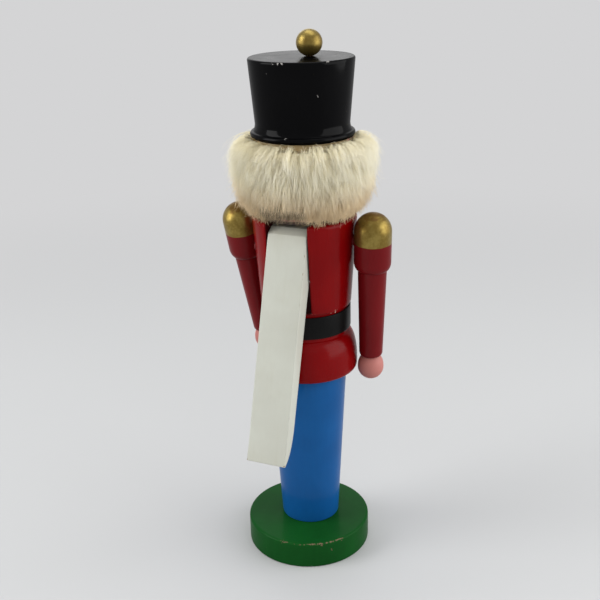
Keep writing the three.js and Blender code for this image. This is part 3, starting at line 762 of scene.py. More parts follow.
class Palette:
    """The nodes of one material or of the world."""

    def __init__(self, tree: bpy.types.NodeTree) -> None:
        """Empties a node tree and keeps it.

        Args:
            tree: The node tree.
        """
        self.tree = tree
        tree.nodes.clear()
        self.coordinates: bpy.types.Node | None = None

    def node(
        self,
        kind: str,
        settings: dict[str, object] | None = None,
        inputs: dict[int | str, object] | None = None,
    ) -> bpy.types.Node:
        """Adds any node.

        Args:
            kind: The node's type.
            settings: The node's own settings, set first.
            inputs: Values or links for its sockets, by name or number.

        Returns:
            The node.
        """
        made = self.tree.nodes.new(kind)
        for name, setting in (settings or {}).items():
            setattr(made, name, setting)
        for name, given in (inputs or {}).items():
            given = given.socket if isinstance(given, Value) else given
            if isinstance(given, bpy.types.NodeSocket):
                self.tree.links.new(given, made.inputs[name])
            else:
                made.inputs[name].default_value = given
        return made

    def value(
        self,
        kind: str,
        settings: dict[str, object] | None = None,
        inputs: dict[int | str, object] | None = None,
        output: int | str = 0,
    ) -> Value:
        """Adds a node and returns one of its outputs as a value."""
        return Value(self, self.node(kind, settings, inputs).outputs[output])

    def where(self) -> bpy.types.NodeSocket:
        """Gives the place on the piece, in the frame's metres.

        Returns:
            The Object coordinates, from one node for the whole palette.
        """
        if self.coordinates is None:
            self.coordinates = self.node("ShaderNodeTexCoord")
        return self.coordinates.outputs["Object"]

    def axes(self) -> tuple[Value, Value, Value]:
        """Returns x, y and z of the place on the piece."""
        split = self.node("ShaderNodeSeparateXYZ", None, {0: self.where()})
        return tuple(Value(self, output) for output in split.outputs)

    def mark(self, name: str) -> Value:
        """Returns a named value that the mesh holds."""
        settings = {"attribute_type": "GEOMETRY", "attribute_name": name}
        return self.value("ShaderNodeAttribute", settings, None, "Fac")

    def stretched(self, stretch: Place, shift: Place = (0.0, 0.0, 0.0)) -> bpy.types.NodeSocket:
        """Returns the place on the piece with each axis scaled, for patterns that run one way."""
        inputs = {"Vector": self.where(), "Location": shift, "Scale": stretch}
        return self.node("ShaderNodeMapping", None, inputs).outputs[0]

    def noise(
        self,
        size: float,
        detail: float = 3.0,
        stretch: Place = (1.0, 1.0, 1.0),
        shift: Place = (0.0, 0.0, 0.0),
    ) -> Value:
        """Returns cloudy noise from 0 to 1.

        Args:
            size: The width of its patches in metres.
            detail: How many finer layers it has.
            stretch: Scale of each axis, below 1 for streaks along it.
            shift: Moves the pattern.

        Returns:
            The noise.
        """
        inputs = {"Vector": self.stretched(stretch, shift), "Scale": 1 / size, "Detail": detail}
        return self.value("ShaderNodeTexNoise", None, inputs)

    def specks(self, size: float, radius: float) -> Value:
        """Gives small round specks, one in each cell of a pattern.

        Args:
            size: The cells' width in metres.
            radius: The specks' radius.

        Returns:
            A value that is 1 in the specks' middles.
        """
        inputs = {"Vector": self.where(), "Scale": 1 / size}
        distance = self.value("ShaderNodeTexVoronoi", None, inputs, "Distance")
        return distance.below(0.6 * radius / size, radius / size)

    def distance(self, place: Place) -> Value:
        """Returns how far each point of the piece lies from a place, in metres."""
        inputs = {0: self.where(), 1: place}
        return self.value("ShaderNodeVectorMath", {"operation": "DISTANCE"}, inputs, "Value")

    def blend(self, share: Value | float, first: Tint, second: Tint) -> bpy.types.NodeSocket:
        """Mixes two colours, the second at a share of 1."""
        made = self.node("ShaderNodeMix", {"data_type": "RGBA"}, {0: share, 6: first, 7: second})
        return made.outputs[2]

    def finish(self, layers: Layers, bump: float = 1.0, **constants: object) -> None:
        """Adds the shader and the output.

        Args:
            layers: What varies over the surface.
            bump: Strength of the height.
            constants: Plain values for the shader's own sockets, with underscores for blanks.
        """
        inputs: dict[int | str, object] = {
            "Base Color": layers.colour,
            "Roughness": layers.roughness,
            "Metallic": layers.metallic,
            "Coat Weight": layers.coat,
        }
        inputs |= {name.replace("_", " "): given for name, given in constants.items()}
        if layers.height is not None:
            raised = self.node(
                "ShaderNodeBump", None, {"Strength": bump, "Distance": 1.0, "Height": layers.height}
            )
            inputs["Normal"] = raised.outputs[0]
        shader = self.node("ShaderNodeBsdfPrincipled", None, inputs)
        self.node("ShaderNodeOutputMaterial", None, {"Surface": shader.outputs[0]})


def new_material(name: str) -> tuple[bpy.types.Material, Palette]:
    """Makes an empty material.

    Args:
        name: The material's name.

    Returns:
        The material and its palette.
    """
    material = bpy.data.materials.new(name)
    material.use_nodes = True
    return material, Palette(material.node_tree)


BARE_ROUGHNESS = 0.75
CHIP_DEPTH = 0.12 * MM
FRONT_EDGE = (-2 * MM, 0.0)


@dataclass(frozen=True)
class Chip:
    """A place where the paint is knocked off."""

    place: Place
    radius: float


@dataclass(frozen=True)
class Paint:
    """Paint or lacquer on turned wood: cloudy colour, brush streaks, specks, and chips along the edges.

    Attributes:
        name: The material's name.
        colour: The paint.
        shade: The paint in its darker patches.
        under: What a chip shows.
        roughness: Roughness of the sound paint.
        coat: Weight of the clear gloss over it.
        coat_roughness: Roughness of that gloss.
        gloss: Strength of the paint's own shine.
        wear: How much of the exposed edges is chipped, from 0 to 1.
        skin: Height of the paint's uneven skin.
        chips: Chips at known places.
    """

    name: str
    colour: Colour
    shade: Colour
    under: Colour
    roughness: float
    coat: float = 0.0
    coat_roughness: float = 0.06
    gloss: float = 0.2
    wear: float = 0.3
    skin: float = 0.02 * MM
    chips: tuple[Chip, ...] = ()

    def pattern(self, palette: Palette, layers: Layers) -> Layers:
        """Paints what goes over the plain colour and under the chips. Plain paint has nothing there."""
        return layers

    def lost(self, palette: Palette) -> Value:
        """Finds where the paint is gone: exposed edges under a broken noise, and the known chips.

        Args:
            palette: The material's palette.

        Returns:
            A value that is 1 where the paint is gone.
        """
        ragged = palette.noise(1.9 * MM, 5.0)
        patches = palette.noise(17 * MM, 2.0, shift=(0.31, 0.12, 0.27))
        exposed = palette.mark("wear") * (0.55 * ragged + 0.45 * patches)
        sound = 0.62 - 0.3 * self.wear
        gone = exposed.above(sound, sound + 0.04)
        fine = palette.noise(0.9 * MM, 3.0)
        for chip in self.chips:
            torn = palette.distance(chip.place) + (fine - 0.42) * 5 * chip.radius
            gone = gone.most(torn.below(0.8 * chip.radius, chip.radius))
        return gone

    def material(self) -> bpy.types.Material:
        """Builds the material.

        Returns:
            The material.
        """
        material, palette = new_material(self.name)
        clouds = palette.noise(24 * MM, 4.0)
        streaks = palette.noise(1.7 * MM, 3.0, stretch=(1.0, 1.0, 0.06))
        shaded = (0.85 * clouds + 0.15 * streaks).above(0.3, 0.7)
        smears = palette.noise(9 * MM, 5.0, stretch=(1.0, 1.0, 0.4))
        layers = Layers(
            colour=palette.blend(shaded, self.shade, self.colour),
            roughness=self.roughness + (smears - 0.5) * 0.5 * self.roughness,
            height=palette.noise(0.9 * MM, 2.0) * self.skin + clouds * 4 * self.skin,
            coat=self.coat,
        )
        layers = self.pattern(palette, layers)
        gone = self.lost(palette)
        grain = palette.noise(0.7 * MM, 4.0, stretch=(1.0, 1.0, 0.15))
        bare = palette.blend(grain, tuple(0.6 * part for part in self.under[:3]) + (1.0,), self.under)
        dust = palette.specks(11 * MM, 0.22 * MM) * palette.noise(30 * MM, 1.0).above(0.52, 0.6)
        layers.colour = palette.blend(gone.most(0.5 * dust), layers.colour, bare)
        layers.roughness = layers.roughness + gone * (BARE_ROUGHNESS - self.roughness)
        layers.coat = (1 - gone) * layers.coat
        layers.height = layers.height - gone * CHIP_DEPTH
        palette.finish(layers, Coat_Roughness=self.coat_roughness, Specular_IOR_Level=self.gloss)
        return material


GOLD = srgb(147, 128, 69)
WORN_GOLD = srgb(114, 94, 44)


def gilded(palette: Palette, layers: Layers, share: Value | float) -> Layers:
    """Lays patchy gold paint over a finish.

    Args:
        palette: The material's palette.
        layers: The finish below.
        share: Where the gold lies, from 0 to 1.

    Returns:
        The finish with the gold on it.
    """
    rubbed = (0.7 * palette.noise(7 * MM, 4.0) + 0.3 * palette.noise(1.3 * MM, 3.0)).above(0.34, 0.66)
    gold = palette.blend(rubbed, WORN_GOLD, GOLD)
    rough = 0.4 - 0.1 * rubbed
    return Layers(
        colour=palette.blend(share, layers.colour, gold),
        roughness=layers.roughness + share * (rough - layers.roughness),
        height=layers.height + share * (palette.noise(0.6 * MM, 3.0) * 0.03 * MM),
        metallic=share * (0.75 + 0.15 * rubbed),
        coat=(1 - share) * layers.coat,
    )


@dataclass(frozen=True)
class CoatPaint(Paint):
    """The red lacquer, with painted gold buttons down both sides of the front, and in the slot a matt dark
    red that is painted shade.
    """

    half_slot: float = 11.85 * MM
    slot_foot: float = 153.2 * MM
    # Painted shade for the inside of the slot.
    slot_shade_colour: Colour = srgb(58, 8, 10)
    sawn_roughness: float = 0.8
    button_side: float = 15.6 * MM
    button_radius: float = 1.9 * MM
    button_heights: tuple[float, ...] = (160 * MM, 171 * MM, 182 * MM)

    def pattern(self, palette: Palette, layers: Layers) -> Layers:
        """Paints the buttons, and makes the slot's sawn walls matt and without gloss, and darker as painted
        shade.

        Args:
            palette: The material's palette.
            layers: The plain lacquer.

        Returns:
            The lacquer with both.
        """
        x, y, z = palette.axes()
        across = abs(x) - self.button_side
        away = [(across**2 + (z - height) ** 2) ** 0.5 for height in self.button_heights]
        buttons = [distance.below(0.93 * self.button_radius, self.button_radius) for distance in away]
        layers = gilded(palette, layers, reduce(Value.most, buttons) * y.below(*FRONT_EDGE))
        # Painted shade: the slot's walls and floor are darkened to stand for the shade inside the slot, and
        # made matt.
        sawn = abs(x).below(self.half_slot, self.half_slot + 0.1 * MM)
        sawn = sawn * z.above(self.slot_foot - MM, self.slot_foot)
        layers.colour = palette.blend(sawn, layers.colour, self.slot_shade_colour)
        layers.roughness = layers.roughness + sawn * (self.sawn_roughness - self.roughness)
        layers.coat = (1 - sawn) * layers.coat
        return layers


@dataclass(frozen=True)
class SleevePaint(Paint):
    """The sleeve's red, with the shoulder above a brushed line in gold that is rubbed brown on top."""

    line: float = 0.0
    rubbed_foot: float = 10 * MM
    rubbed_top: float = 16.4 * MM
    rubbed_colour: Colour = srgb(98, 74, 36)

    def pattern(self, palette: Palette, layers: Layers) -> Layers:
        """Paints the gold shoulder, its edge a little uneven, as a brush leaves it.

        Args:
            palette: The material's palette.
            layers: The plain red.

        Returns:
            The red with the gold on it.
        """
        soft = 0.12 * MM
        wander = (palette.noise(6 * MM, 2.0) - 0.5) * 0.9 * MM
        height = palette.mark("along") + wander
        gold = height.above(self.line - soft, self.line + soft)
        layers = gilded(palette, layers, gold)
        patchy = palette.noise(3.4 * MM, 4.0)
        rubbed = (height.above(self.rubbed_foot, self.rubbed_top) * patchy).above(0.28, 0.5)
        layers.colour = palette.blend(rubbed, layers.colour, self.rubbed_colour)
        layers.metallic = (1 - 0.7 * rubbed) * layers.metallic
        return layers


@dataclass(frozen=True)
class BallPaint(Paint):
    """Gold paint all over."""

    def pattern(self, palette: Palette, layers: Layers) -> Layers:
        """Paints the gold."""
        return gilded(palette, layers, 1.0)


@dataclass(frozen=True)
class BeltPaint(Paint):
    """The black strip, with a plain gold buckle painted in front."""

    middle: float = 144.2 * MM
    half_width: float = 7.6 * MM
    half_height: float = 5.2 * MM
    bar: float = 1.9 * MM

    def pattern(self, palette: Palette, layers: Layers) -> Layers:
        """Paints the buckle's four bars.

        Args:
            palette: The material's palette.
            layers: The plain black.

        Returns:
            The black with the buckle on it.
        """
        x, y, z = palette.axes()
        soft = 0.1 * MM
        across = abs(x) - self.half_width
        up = abs(z - self.middle) - self.half_height
        frame_edge = across.most(up)
        bars = frame_edge.below(-soft, soft) * frame_edge.above(-self.bar - soft, -self.bar + soft)
        layers.height = layers.height + palette.noise(0.5 * MM, 4.0) * 0.03 * MM
        return gilded(palette, layers, bars * y.below(*FRONT_EDGE))


TOOTH_WHITE = srgb(236, 230, 212)
TOOTH_GAP = srgb(60, 34, 28)
TOOTH_WIDTH = 3.4 * MM
TEETH_HALF = 10.2 * MM
FACE_BLACK = srgb(30, 22, 20)


def teeth(palette: Palette, colour: Tint, across: Value, up: Value, row: tuple[float, float, float]) -> Tint:
    """Paints a row of teeth.

    Args:
        palette: The material's palette.
        colour: The colour below.
        across: Distance sideways from the middle of the face.
        up: Height.
        row: The row's foot, top and half width.

    Returns:
        The colour with the teeth on it.
    """
    foot, top, half = row
    soft = 0.12 * MM
    inside = up.above(foot - soft, foot + soft) * up.below(top - soft, top + soft)
    inside = inside * abs(across).below(half - soft, half + soft)
    place = (across / TOOTH_WIDTH).maths("FRACT")
    gaps = abs(abs(place) - 0.5).above(0.44, 0.47)
    return palette.blend(inside, colour, palette.blend(gaps, TOOTH_WHITE, TOOTH_GAP))


@dataclass(frozen=True)
class Oval:
    """One of the upright ovals that an eye is painted with, measured from the eye's middle."""

    outward: float
    lift: float
    half_width: float
    half_height: float
    colour: Colour


@dataclass(frozen=True)
class FacePaint(Paint):
    """The skin paint of the head, with a plain soldier's face in front."""

    radius: float = 24.3 * MM
    front_edge: tuple[float, float] = (-3 * MM, 0.0)
    mouth: float = 212.4 * MM
    teeth_height: float = 3.6 * MM
    cheek_side: float = 14 * MM
    cheek_drop: float = 9.5 * MM
    cheek_fade: tuple[float, float] = (1 * MM, 7 * MM)
    cheek_share: float = 0.6
    cheek_colour: Colour = srgb(206, 92, 88)
    eye_height: float = 232.6 * MM
    eye_side: float = 8.2 * MM
    eye: tuple[Oval, ...] = (
        Oval(0.0, 0.5 * MM, 4.7 * MM, 3.6 * MM, FACE_BLACK),
        Oval(0.0, 0.0, 4.2 * MM, 2.9 * MM, srgb(238, 236, 228)),
        Oval(0.0, 0.2 * MM, 2.2 * MM, 2.2 * MM, srgb(52, 104, 160)),
        Oval(0.0, 0.2 * MM, 1.15 * MM, 1.15 * MM, FACE_BLACK),
        Oval(0.7 * MM, 1.1 * MM, 0.5 * MM, 0.5 * MM, srgb(244, 244, 240)),
    )
    brow_lift: float = 6.4 * MM
    brow_arch: float = 0.028 / MM
    brow_half: tuple[float, float] = (4.6 * MM, 5.0 * MM)
    brow_thickness: tuple[float, float] = (0.75 * MM, 1.0 * MM)
    whisker_lift: float = 6.3 * MM
    whisker_half: float = 15 * MM
    whisker_sag: float = 1.3 * MM
    whisker_bow: float = 11 * MM
    whisker_curl: float = 3.4 * MM
    whisker_curl_from: float = 8 * MM
    whisker_thickness: float = 2.1 * MM
    whisker_taper: float = 0.125
    glue: Colour = srgb(190, 166, 122)
    # The colour of the painted shade along the back of the head's foot.
    soiled: Colour = srgb(44, 24, 22)

    def eyes(self, palette: Palette, colour: Tint, side: Value, up: Value, front: Value) -> Tint:
        """Paints cheeks, eyes and brows, alike on both sides.

        An eye's oval is where the squares of the distances over its half sizes add up to less than one, and
        a brow is a thin parabola.

        Args:
            palette: The material's palette.
            colour: The colour below.
            side: Distance sideways from the middle of the face.
            up: Height.
            front: 1 on the front of the head.

        Returns:
            The colour with the eyes on it.
        """
        level = up - self.eye_height
        away = ((side - self.cheek_side) ** 2 + (level + self.cheek_drop) ** 2) ** 0.5
        cheek_share = away.below(*self.cheek_fade) * front * self.cheek_share
        colour = palette.blend(cheek_share, colour, self.cheek_colour)
        beside = side - self.eye_side
        for oval in self.eye:
            across = (beside - oval.outward) / oval.half_width
            above = (level - oval.lift) / oval.half_height
            inside = (across**2 + above**2).below(0.9, 1.1)
            colour = palette.blend(inside * front, colour, oval.colour)
        arch = level - self.brow_lift + beside**2 * self.brow_arch
        brow = abs(arch).below(*self.brow_thickness) * abs(beside).below(*self.brow_half)
        return palette.blend(brow * front, colour, FACE_BLACK)

    def whiskers(self, palette: Palette, colour: Tint, side: Value, up: Value, front: Value) -> Tint:
        """Paints the moustache: a line that sags as half a sine wave and then curls up, thinning outwards.

        Args:
            palette: The material's palette.
            colour: The colour below.
            side: Distance sideways from the middle of the face.
            up: Height.
            front: 1 on the front of the head.

        Returns:
            The colour with the moustache on it.
        """
        soft = 0.15 * MM
        wave = (side * (math.pi / self.whisker_bow)).maths("SINE")
        curl = side.above(self.whisker_curl_from, self.whisker_half) * self.whisker_curl
        line = up - (self.mouth + self.whisker_lift) + wave * self.whisker_sag - curl
        thick = self.whisker_thickness - side * self.whisker_taper
        whisker = (abs(line) - thick).below(-soft, soft)
        whisker = whisker * side.below(self.whisker_half - 0.5 * MM, self.whisker_half)
        return palette.blend(whisker * front, colour, FACE_BLACK)

    def pattern(self, palette: Palette, layers: Layers) -> Layers:
        """Paints the face in front, and behind it the glue over the hide and a painted shade along the head's
        foot, where the gap above the lever is dark.

        Args:
            palette: The material's palette.
            layers: The plain skin paint.

        Returns:
            The skin paint with the face on it.
        """
        x, y, up = palette.axes()
        across = x.maths("ARCTAN2", y * -1) * self.radius
        side = abs(across)
        front = y.below(*self.front_edge)
        colour = self.eyes(palette, layers.colour, side, up, front)
        colour = self.whiskers(palette, colour, side, up, front)
        row = (self.mouth, self.mouth + self.teeth_height, TEETH_HALF)
        colour = teeth(palette, colour, across + TOOTH_WIDTH / 2, up, row)
        hide_top = node_box("hair_hide")[1][2]
        glued = up.above(hide_top - 0.6 * MM, hide_top - 0.2 * MM) * (1 - front)
        colour = palette.blend(glued, colour, self.glue)
        # Painted shade: a dark band along the back of the head's foot stands for the shade in the gap above
        # the lever.
        foot = node_box("head")[0][2]
        painted_foot_shade = up.below(foot + 1.6 * MM, foot + 2.2 * MM) * (1 - front)
        layers.colour = palette.blend(painted_foot_shade, colour, self.soiled)
        return layers


@dataclass(frozen=True)
class LeverPaint(Paint):
    """The lever's white, streaked and soiled, with the jaw's front in skin colour and lower teeth."""

    jaw_front: float = -26.5 * MM
    jaw_top: float = 212.0 * MM
    arm_foot: float = 176.0 * MM
    teeth_height: float = 4.6 * MM
    shoulder_soil: tuple[float, float] = (186 * MM, 201 * MM)
    tip_soil: tuple[float, float] = (80 * MM, 92 * MM)
    skin_colour: Colour = srgb(204, 143, 131)
    soil: Colour = srgb(160, 152, 128)

    def pattern(self, palette: Palette, layers: Layers) -> Layers:
        """Paints the soil towards both ends and along the streaks, and the jaw's front.

        Args:
            palette: The material's palette.
            layers: The plain white.

        Returns:
            The white with both.
        """
        x, y, z = palette.axes()
        streaks = palette.noise(3.2 * MM, 4.0, stretch=(1.0, 0.3, 0.05))
        blotches = palette.noise(14 * MM, 4.0)
        handled = z.above(*self.shoulder_soil) * 0.75 + z.below(*self.tip_soil) * 0.3
        soiled = (streaks.above(0.5, 0.78) + blotches.above(0.52, 0.75)) * 0.07 + handled * streaks * 0.5
        colour = palette.blend(soiled, layers.colour, self.soil)
        front = y.below(self.jaw_front + 1.4 * MM, self.jaw_front + 1.7 * MM)
        front = front * z.above(self.arm_foot - MM, self.arm_foot)
        colour = palette.blend(front, colour, self.skin_colour)
        row = (self.jaw_top - self.teeth_height, self.jaw_top + MM, TEETH_HALF)
        toothed = teeth(palette, colour, x + TOOTH_WIDTH / 2, z, row)
        layers.colour = palette.blend(front, colour, toothed)
        return layers


@dataclass(frozen=True)
class FurFinish:
    """Fur: yellower at the root, pale at the tip, with painted shade on the low tips over the lever, and a
    painted warm shade on its lower edge.
    """

    name: str
    root: Colour = srgb(240, 228, 188)
    middle: Colour = srgb(251, 244, 216)
    tip: Colour = srgb(253, 250, 234)
    # The dark grey of the painted shade on the low hair tips over the lever.
    grey: Colour = srgb(58, 52, 48)
    # Painted shade and light bounced off the red coat: warm and darker on the fur's lower edge.
    low_shade: float = 0.0
    low_shade_colour: Colour = srgb(220, 194, 152)
    low_shade_heights: tuple[float, float] = (206 * MM, 229 * MM)

    def material(self) -> bpy.types.Material:
        """Builds the material.

        Returns:
            The material.
        """
        material, palette = new_material(self.name)
        along = palette.mark("along")
        tone = palette.mark("tone")
        colour = palette.blend(along.above(0.05, 0.55), self.root, self.middle)
        colour = palette.blend(along.above(0.55, 1.0), colour, self.tip)
        colour = palette.blend(tone * 0.4, colour, self.root)
        height = palette.axes()[2]
        # Painted shade: the lower edge is warmed and darkened to stand for shade and the red coat's bounced
        # light.
        colour = palette.blend(height.below(*self.low_shade_heights) * self.low_shade, colour, self.low_shade_colour)
        # Painted shade: hair tips marked over the lever turn dark grey, standing for the shade of the gap
        # beneath them.
        colour = palette.blend(palette.mark("grey") * along.above(0.3, 0.75), colour, self.grey)
        palette.finish(Layers(colour, 0.62 - 0.14 * tone), Specular_IOR_Level=0.2)
        return material


@dataclass(frozen=True)
class HideFinish:
    """The raw side of the fur's hide, matt and pitted."""

    name: str
    colour: Colour = srgb(206, 192, 160)
    dark: Colour = srgb(168, 148, 112)

    def material(self) -> bpy.types.Material:
        """Builds the material.

        Returns:
            The material.
        """
        material, palette = new_material(self.name)
        pores = palette.noise(1.2 * MM, 5.0)
        patches = palette.noise(9 * MM, 3.0)
        colour = palette.blend((0.5 * pores + 0.5 * patches).above(0.35, 0.65), self.dark, self.colour)
        palette.finish(Layers(colour, 0.8 + 0.15 * pores, pores * 0.15 * MM), Specular_IOR_Level=0.2)
        return material


@dataclass(frozen=True)
class WoodFinish:
    """Bare beech: pale, with fine grain and small dark flecks, painted over where it shows at the sides."""

    name: str
    colour: Colour = srgb(214, 178, 128)
    dark: Colour = srgb(164, 120, 74)
    paint: Colour = srgb(92, 9, 11)
    painted_from: float = 21 * MM

    def material(self) -> bpy.types.Material:
        """Builds the material.

        Returns:
            The material.
        """
        material, palette = new_material(self.name)
        grain = palette.noise(0.8 * MM, 5.0, stretch=(0.35, 1.0, 0.12))
        flecks = palette.specks(1.6 * MM, 0.3 * MM)
        share = grain.above(0.35, 0.7) * (1 - 0.35 * flecks)
        colour = palette.blend(share, self.dark, self.colour)
        outside = abs(palette.axes()[0]).above(self.painted_from, self.painted_from + 0.3 * MM)
        colour = palette.blend(outside, colour, self.paint)
        palette.finish(Layers(colour, 0.62 + 0.2 * grain, grain * 0.06 * MM), Specular_IOR_Level=0.3)
        return material


# Sub-assemblies


@dataclass
class Base:
    """The green disc that the figure stands on."""

    top_edge: float = 1.4 * MM
    foot_edge: float = 0.8 * MM
    worn_angle: float = math.radians(112)
    worn_reach: float = math.radians(38)
    least_wear: float = 0.55
    paint: Paint = Paint(
        name="green_paint",
        colour=srgb(15, 72, 25),
        shade=srgb(13, 64, 22),
        under=srgb(120, 103, 82),
        roughness=0.42,
        coat=0.05,
        coat_roughness=0.12,
        gloss=0.03,
        wear=1.0,
        chips=(
            Chip((-25.2 * MM, 29.0 * MM, 10.5 * MM), 0.9 * MM),
            Chip((-20.0 * MM, 33.0 * MM, 15.2 * MM), 1.5 * MM),
            Chip((-30.5 * MM, 24.6 * MM, 15.2 * MM), 1.3 * MM),
            Chip((1.6 * MM, 38.6 * MM, 15.0 * MM), 1.2 * MM),
        ),
    )

    def build(self) -> None:
        """Turns the disc about its own middle, with most wear along the back of its top edge."""
        low, high = node_box("base_disc")
        radius = (high[0] - low[0]) / 2
        corners = [(0, 0), (radius, 0), (radius, high[2]), (0, high[2])]
        outline = spread(fillet(corners, [self.foot_edge, self.top_edge]))
        middle = (0.0, (low[1] + high[1]) / 2, 0.0)
        disc = turned(outline, WIDE_FACETS)
        angle = np.arctan2(disc.points[:, 1], disc.points[:, 0])
        worn = np.exp(-(((angle - self.worn_angle) / self.worn_reach) ** 2))
        top_half = disc.points[:, 2] > high[2] / 2
        disc.marks["wear"] *= top_half * (self.least_wear + (1 - self.least_wear) * worn)
        disc = disc.placed(np.eye(3), middle)
        settle(mesh_object("base", disc), self.paint.material(), Body.FIGURE, ["base_disc"])


@dataclass
class Legs:
    """The blue column that stands for both legs."""

    foot_radius: float = 16.9 * MM
    edge: float = 0.7 * MM
    paint: Paint = Paint(
        name="blue_paint",
        colour=srgb(16, 80, 138),
        shade=srgb(14, 74, 130),
        under=srgb(196, 168, 128),
        roughness=0.34,
        coat=0.14,
        coat_roughness=0.12,
        gloss=0.05,
        wear=0.1,
    )

    def build(self) -> None:
        """Turns the column."""
        low, high = node_box("legs_column")
        corners = [(0, low[2]), (self.foot_radius, low[2]), (high[0], high[2]), (0, high[2])]
        column = turned(spread(fillet(corners, [self.edge, self.edge])), WIDE_FACETS)
        settle(mesh_object("legs", column), self.paint.material(), Body.FIGURE, ["legs_column"])


@dataclass
class Torso:
    """The red body with its bell skirt, sawn open above the belt for the lever."""

    hem_radius: float = 26.9 * MM
    hem_edge: float = 3.4 * MM
    skirt_height: float = 23 * MM
    waist_radius: float = 23.5 * MM
    bell_rise: float = 0.6
    bell_flare: float = 0.7
    bell_tuck: float = 0.1
    chest_height: float = 50 * MM
    chest_edge: float = 0.3 * MM
    slot_floor: float = 49.4 * MM
    chest_radius: float = 25.2 * MM
    shoulder_radius: float = 28.6 * MM
    shoulder_edge: float = 2.3 * MM
    half_gap: float = 11.8 * MM
    arris: float = 0.7 * MM
    pin_radius: float = 2.7 * MM
    paint: CoatPaint = CoatPaint(
        name="red_lacquer",
        colour=srgb(118, 4, 6),
        shade=srgb(109, 3, 5),
        under=srgb(226, 190, 170),
        roughness=0.26,
        coat=0.14,
        coat_roughness=0.2,
        gloss=0.03,
        wear=0.12,
        chips=(
            Chip((-17.2 * MM, 18.4 * MM, 173.3 * MM), 0.45 * MM),
            Chip((-19.8 * MM, 12.8 * MM, 151.2 * MM), 0.6 * MM),
            Chip((-21.3 * MM, 9.9 * MM, 151.0 * MM), 0.5 * MM),
        ),
    )

    def build(self) -> None:
        """Turns the body below the slot's floor, stands the two cheeks on it and drills the left one."""
        low, high = node_box("torso")
        hem, top, skirt_radius = low[2], high[2], high[0]
        floor = top - self.slot_floor
        waist = hem + self.skirt_height
        edge = bezier([(self.hem_radius, hem), (skirt_radius, hem), (skirt_radius, hem + self.hem_edge)], 8)
        flare_radius = self.waist_radius + self.bell_flare * (skirt_radius - self.waist_radius)
        bell = bezier([
            (skirt_radius, hem + self.hem_edge),
            (skirt_radius, hem + self.bell_rise * self.skirt_height),
            (flare_radius, waist - self.bell_tuck * self.skirt_height),
            (self.waist_radius, waist),
        ])
        chest_foot = top - self.chest_height
        rise = (floor - chest_foot) / (self.chest_height - self.shoulder_edge)
        floor_radius = self.chest_radius + (self.shoulder_radius - self.chest_radius) * rise
        waist_top = (self.waist_radius, chest_foot)
        rim = fillet([waist_top, (self.chest_radius, chest_foot), (floor_radius, floor)], [self.chest_edge])
        skirt = turned(spread(np.vstack([[(0, hem)], edge, bell[1:], rim, [(0, floor)]])), WIDE_FACETS)

        shoulder = (self.shoulder_radius, top)
        above = bezier([
            (self.shoulder_radius, top - self.shoulder_edge),
            shoulder,
            (self.shoulder_radius - self.shoulder_edge, top),
        ], 8)
        wall = spread(np.vstack([[(floor_radius, floor)], above]))
        right = cheek(wall, self.half_gap, self.arris, Side.RIGHT)
        left = mesh_object("torso_left_cheek", cheek(wall, self.half_gap, self.arris, Side.LEFT))
        pin_low, pin_high = node_box("pivot_pin")
        pin = (pin_low + pin_high) / 2
        carve(left, [drill_bit(self.pin_radius, 2 * self.shoulder_radius, (0.0, pin[1], pin[2]))])
        material = self.paint.material()
        settle(mesh_object("torso", skirt.joined(right)), material, Body.FIGURE, ["torso"])
        settle(left, material, Body.FIGURE, ["torso"])


@dataclass
class Belt:
    """The black strip round the waist."""

    edge: float = 0.35 * MM
    thickness: float = 1.1 * MM
    paint: BeltPaint = BeltPaint(
        name="black_belt",
        colour=srgb(20, 20, 19),
        shade=srgb(12, 12, 12),
        under=srgb(96, 84, 74),
        roughness=0.4,
        coat=0.04,
        coat_roughness=0.2,
        gloss=0.06,
        wear=0.05,
    )

    def build(self) -> None:
        """Carries the strip's section once round."""
        low, high = node_box("belt")
        section = rounded_box((high[0] - self.thickness, low[2]), (high[0], high[2]), self.edge)
        strip = banded(section, 0.0, 2 * np.pi, WIDE_FACETS)
        settle(mesh_object("belt_strip", strip), self.paint.material(), Body.FIGURE, ["belt"])


@dataclass
class Head:
    """The head with its painted face and its nose."""

    edge: float = 0.9 * MM
    half_gap: float = 11.8 * MM
    mouth_height: float = 9.7 * MM
    mouth_back: float = -2.4 * MM
    nose_flat: float = 0.5 * MM
    paint: FacePaint = FacePaint(
        name="skin_paint",
        colour=srgb(206, 146, 134),
        shade=srgb(196, 134, 122),
        under=srgb(206, 172, 130),
        roughness=0.42,
        coat=0.15,
        coat_roughness=0.2,
        wear=0.1,
    )

    def build(self) -> None:
        """Turns the head, cuts the mouth out of it, and sets the nose on the face."""
        low, high = node_box("head")
        radius, foot, top = high[0], low[2], high[2]
        corners = [(0, foot), (radius, foot), (radius, top), (0, top)]
        turning = turned(spread(fillet(corners, [self.edge, self.edge])), WIDE_FACETS)
        head = mesh_object("head_turning", turning)
        section = rounded_box((-self.half_gap, -foot), (self.half_gap, foot + self.mouth_height), MM / 5)
        # The cutter's thickness runs forward from the mouth's back, past the face.
        carve(head, [plaque(section, 2 * radius, MM / 20, self.mouth_back - radius)])
        material = self.paint.material()
        settle(head, material, Body.FIGURE, ["head"])

        nose_low, nose_high = node_box("nose")
        size = (nose_high[0] - nose_low[0]) / 2
        proud = -nose_low[1] - radius
        knob = np.vstack([
            [(0, 0), (size - self.nose_flat, 0)],
            bezier([(size, 0), (size, 0.55 * proud), (0.6 * size, proud), (0, proud)], 20),
        ])
        middle = (0.0, -radius - self.nose_flat / 4, (nose_low[2] + nose_high[2]) / 2)
        nose = turned(knob, SMALL_FACETS).placed(turn_about("X", 90), middle)
        settle(mesh_object("nose_knob", nose), material, Body.FIGURE, ["nose"])


